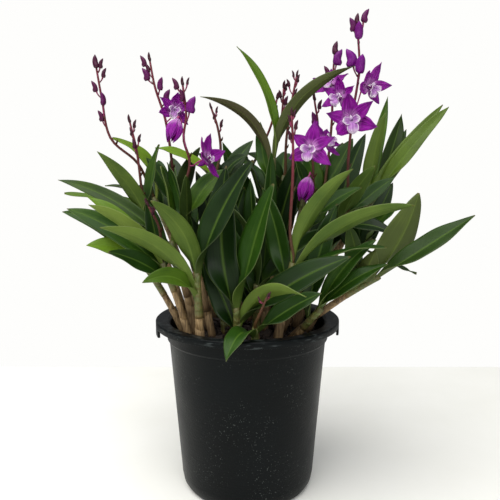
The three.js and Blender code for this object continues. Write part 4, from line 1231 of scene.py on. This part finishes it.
dressed = [(pot, "pot", "pot"), (bark, "potting_mix", "bark_mix")]
for pieces, node, slot in ((leafy_canes, "leafy_stem", "leafy_stems"),
                           (spikes, "flower_spike", "flower_spikes"), (blooms, "bloom", "blooms")):
    dressed += [(piece, f"{node}_{i:02d}", slot) for i, piece in enumerate(pieces, 1)]
for piece, node, slot in dressed:
    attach(piece, "root")
    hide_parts(node)
triangles = sum(sum(len(face.vertices) - 2 for face in piece.data.polygons) for piece, _, _ in dressed)
print("pieces:", len(dressed), "triangles:", triangles)

# %% [markdown]
# ## Floor, light and camera
#
# The plant stands on a pale sheet in soft daylight. A large lamp overhead and a little to the left draws
# the leaves and leaves the heart of the plant dark; the bright surroundings fill the rest. A ray from the
# camera sees them nearly white, while they light the plant more gently than that.

# %% Floor
FLOOR_SIZE = 2.4
paper = Finish("pale_paper", 0.8)
paper.set("Base Color", paper.ramp(paper.noise(12, 4), (0.3, rgb(246, 246, 240)), (0.7, rgb(250, 250, 245))))
floor = start_blank("pale_floor", [paper.material], bpy.ops.mesh.primitive_plane_add, size=FLOOR_SIZE,
                    location=(0, -0.4 * FLOOR_SIZE, 0))
bpy.ops.object.mode_set(mode="OBJECT")


# %% Lamps
def lamp(name, place, aim, size, watts, colour):
    bpy.ops.object.light_add(type="AREA", location=place)
    made = bpy.context.object
    made.name = name
    made.data.shape = "DISK"
    made.data.size = size
    made.data.energy = watts
    made.data.color = colour
    away = np.array(place) - np.array(aim)
    tilt, turn = math.acos(away[2] / np.linalg.norm(away)), math.atan2(away[1], away[0]) + math.pi / 2
    made.rotation_euler = (tilt, 0, turn)


lamp("window_lamp", (-0.4, -0.5, 1.3), (0, 0, 0.15), 2.1, 34, (1.0, 0.985, 0.96))
lamp("front_fill", (0.5, -1.2, 0.7), (0, 0, 0.1), 0.9, 4, (0.97, 0.98, 1.0))

# %% The bright room
world = bpy.data.worlds.new("bright_room")
bpy.context.scene.world = world
world.use_nodes = True
nodes, links = world.node_tree.nodes, world.node_tree.links
nodes.clear()
chooser = nodes.new("ShaderNodeMixShader")
links.new(nodes.new("ShaderNodeLightPath").outputs["Is Camera Ray"], chooser.inputs[0])
for number, colour, strength in ((1, (0.95, 0.97, 1.0, 1), 0.3), (2, (0.992, 0.99, 0.975, 1), 1.0)):
    room = nodes.new("ShaderNodeBackground")
    room.inputs["Color"].default_value = colour
    room.inputs["Strength"].default_value = strength
    links.new(room.outputs[0], chooser.inputs[number])
links.new(chooser.outputs[0], nodes.new("ShaderNodeOutputWorld").inputs["Surface"])

# %% Camera
EYE = (0.0018, -0.3925, 0.2215)
LOOKS_DOWN = math.radians(7.5)
bpy.ops.object.camera_add(location=EYE, rotation=(math.pi / 2 - LOOKS_DOWN, 0, 0))
camera = bpy.context.object
camera.data.sensor_width = 36
camera.data.lens = 40.32
camera.data.clip_start = 0.01
bpy.context.scene.camera = camera
bpy.context.scene.view_settings.view_transform = "Standard"
print("camera at", [round(v, 3) for v in camera.location])
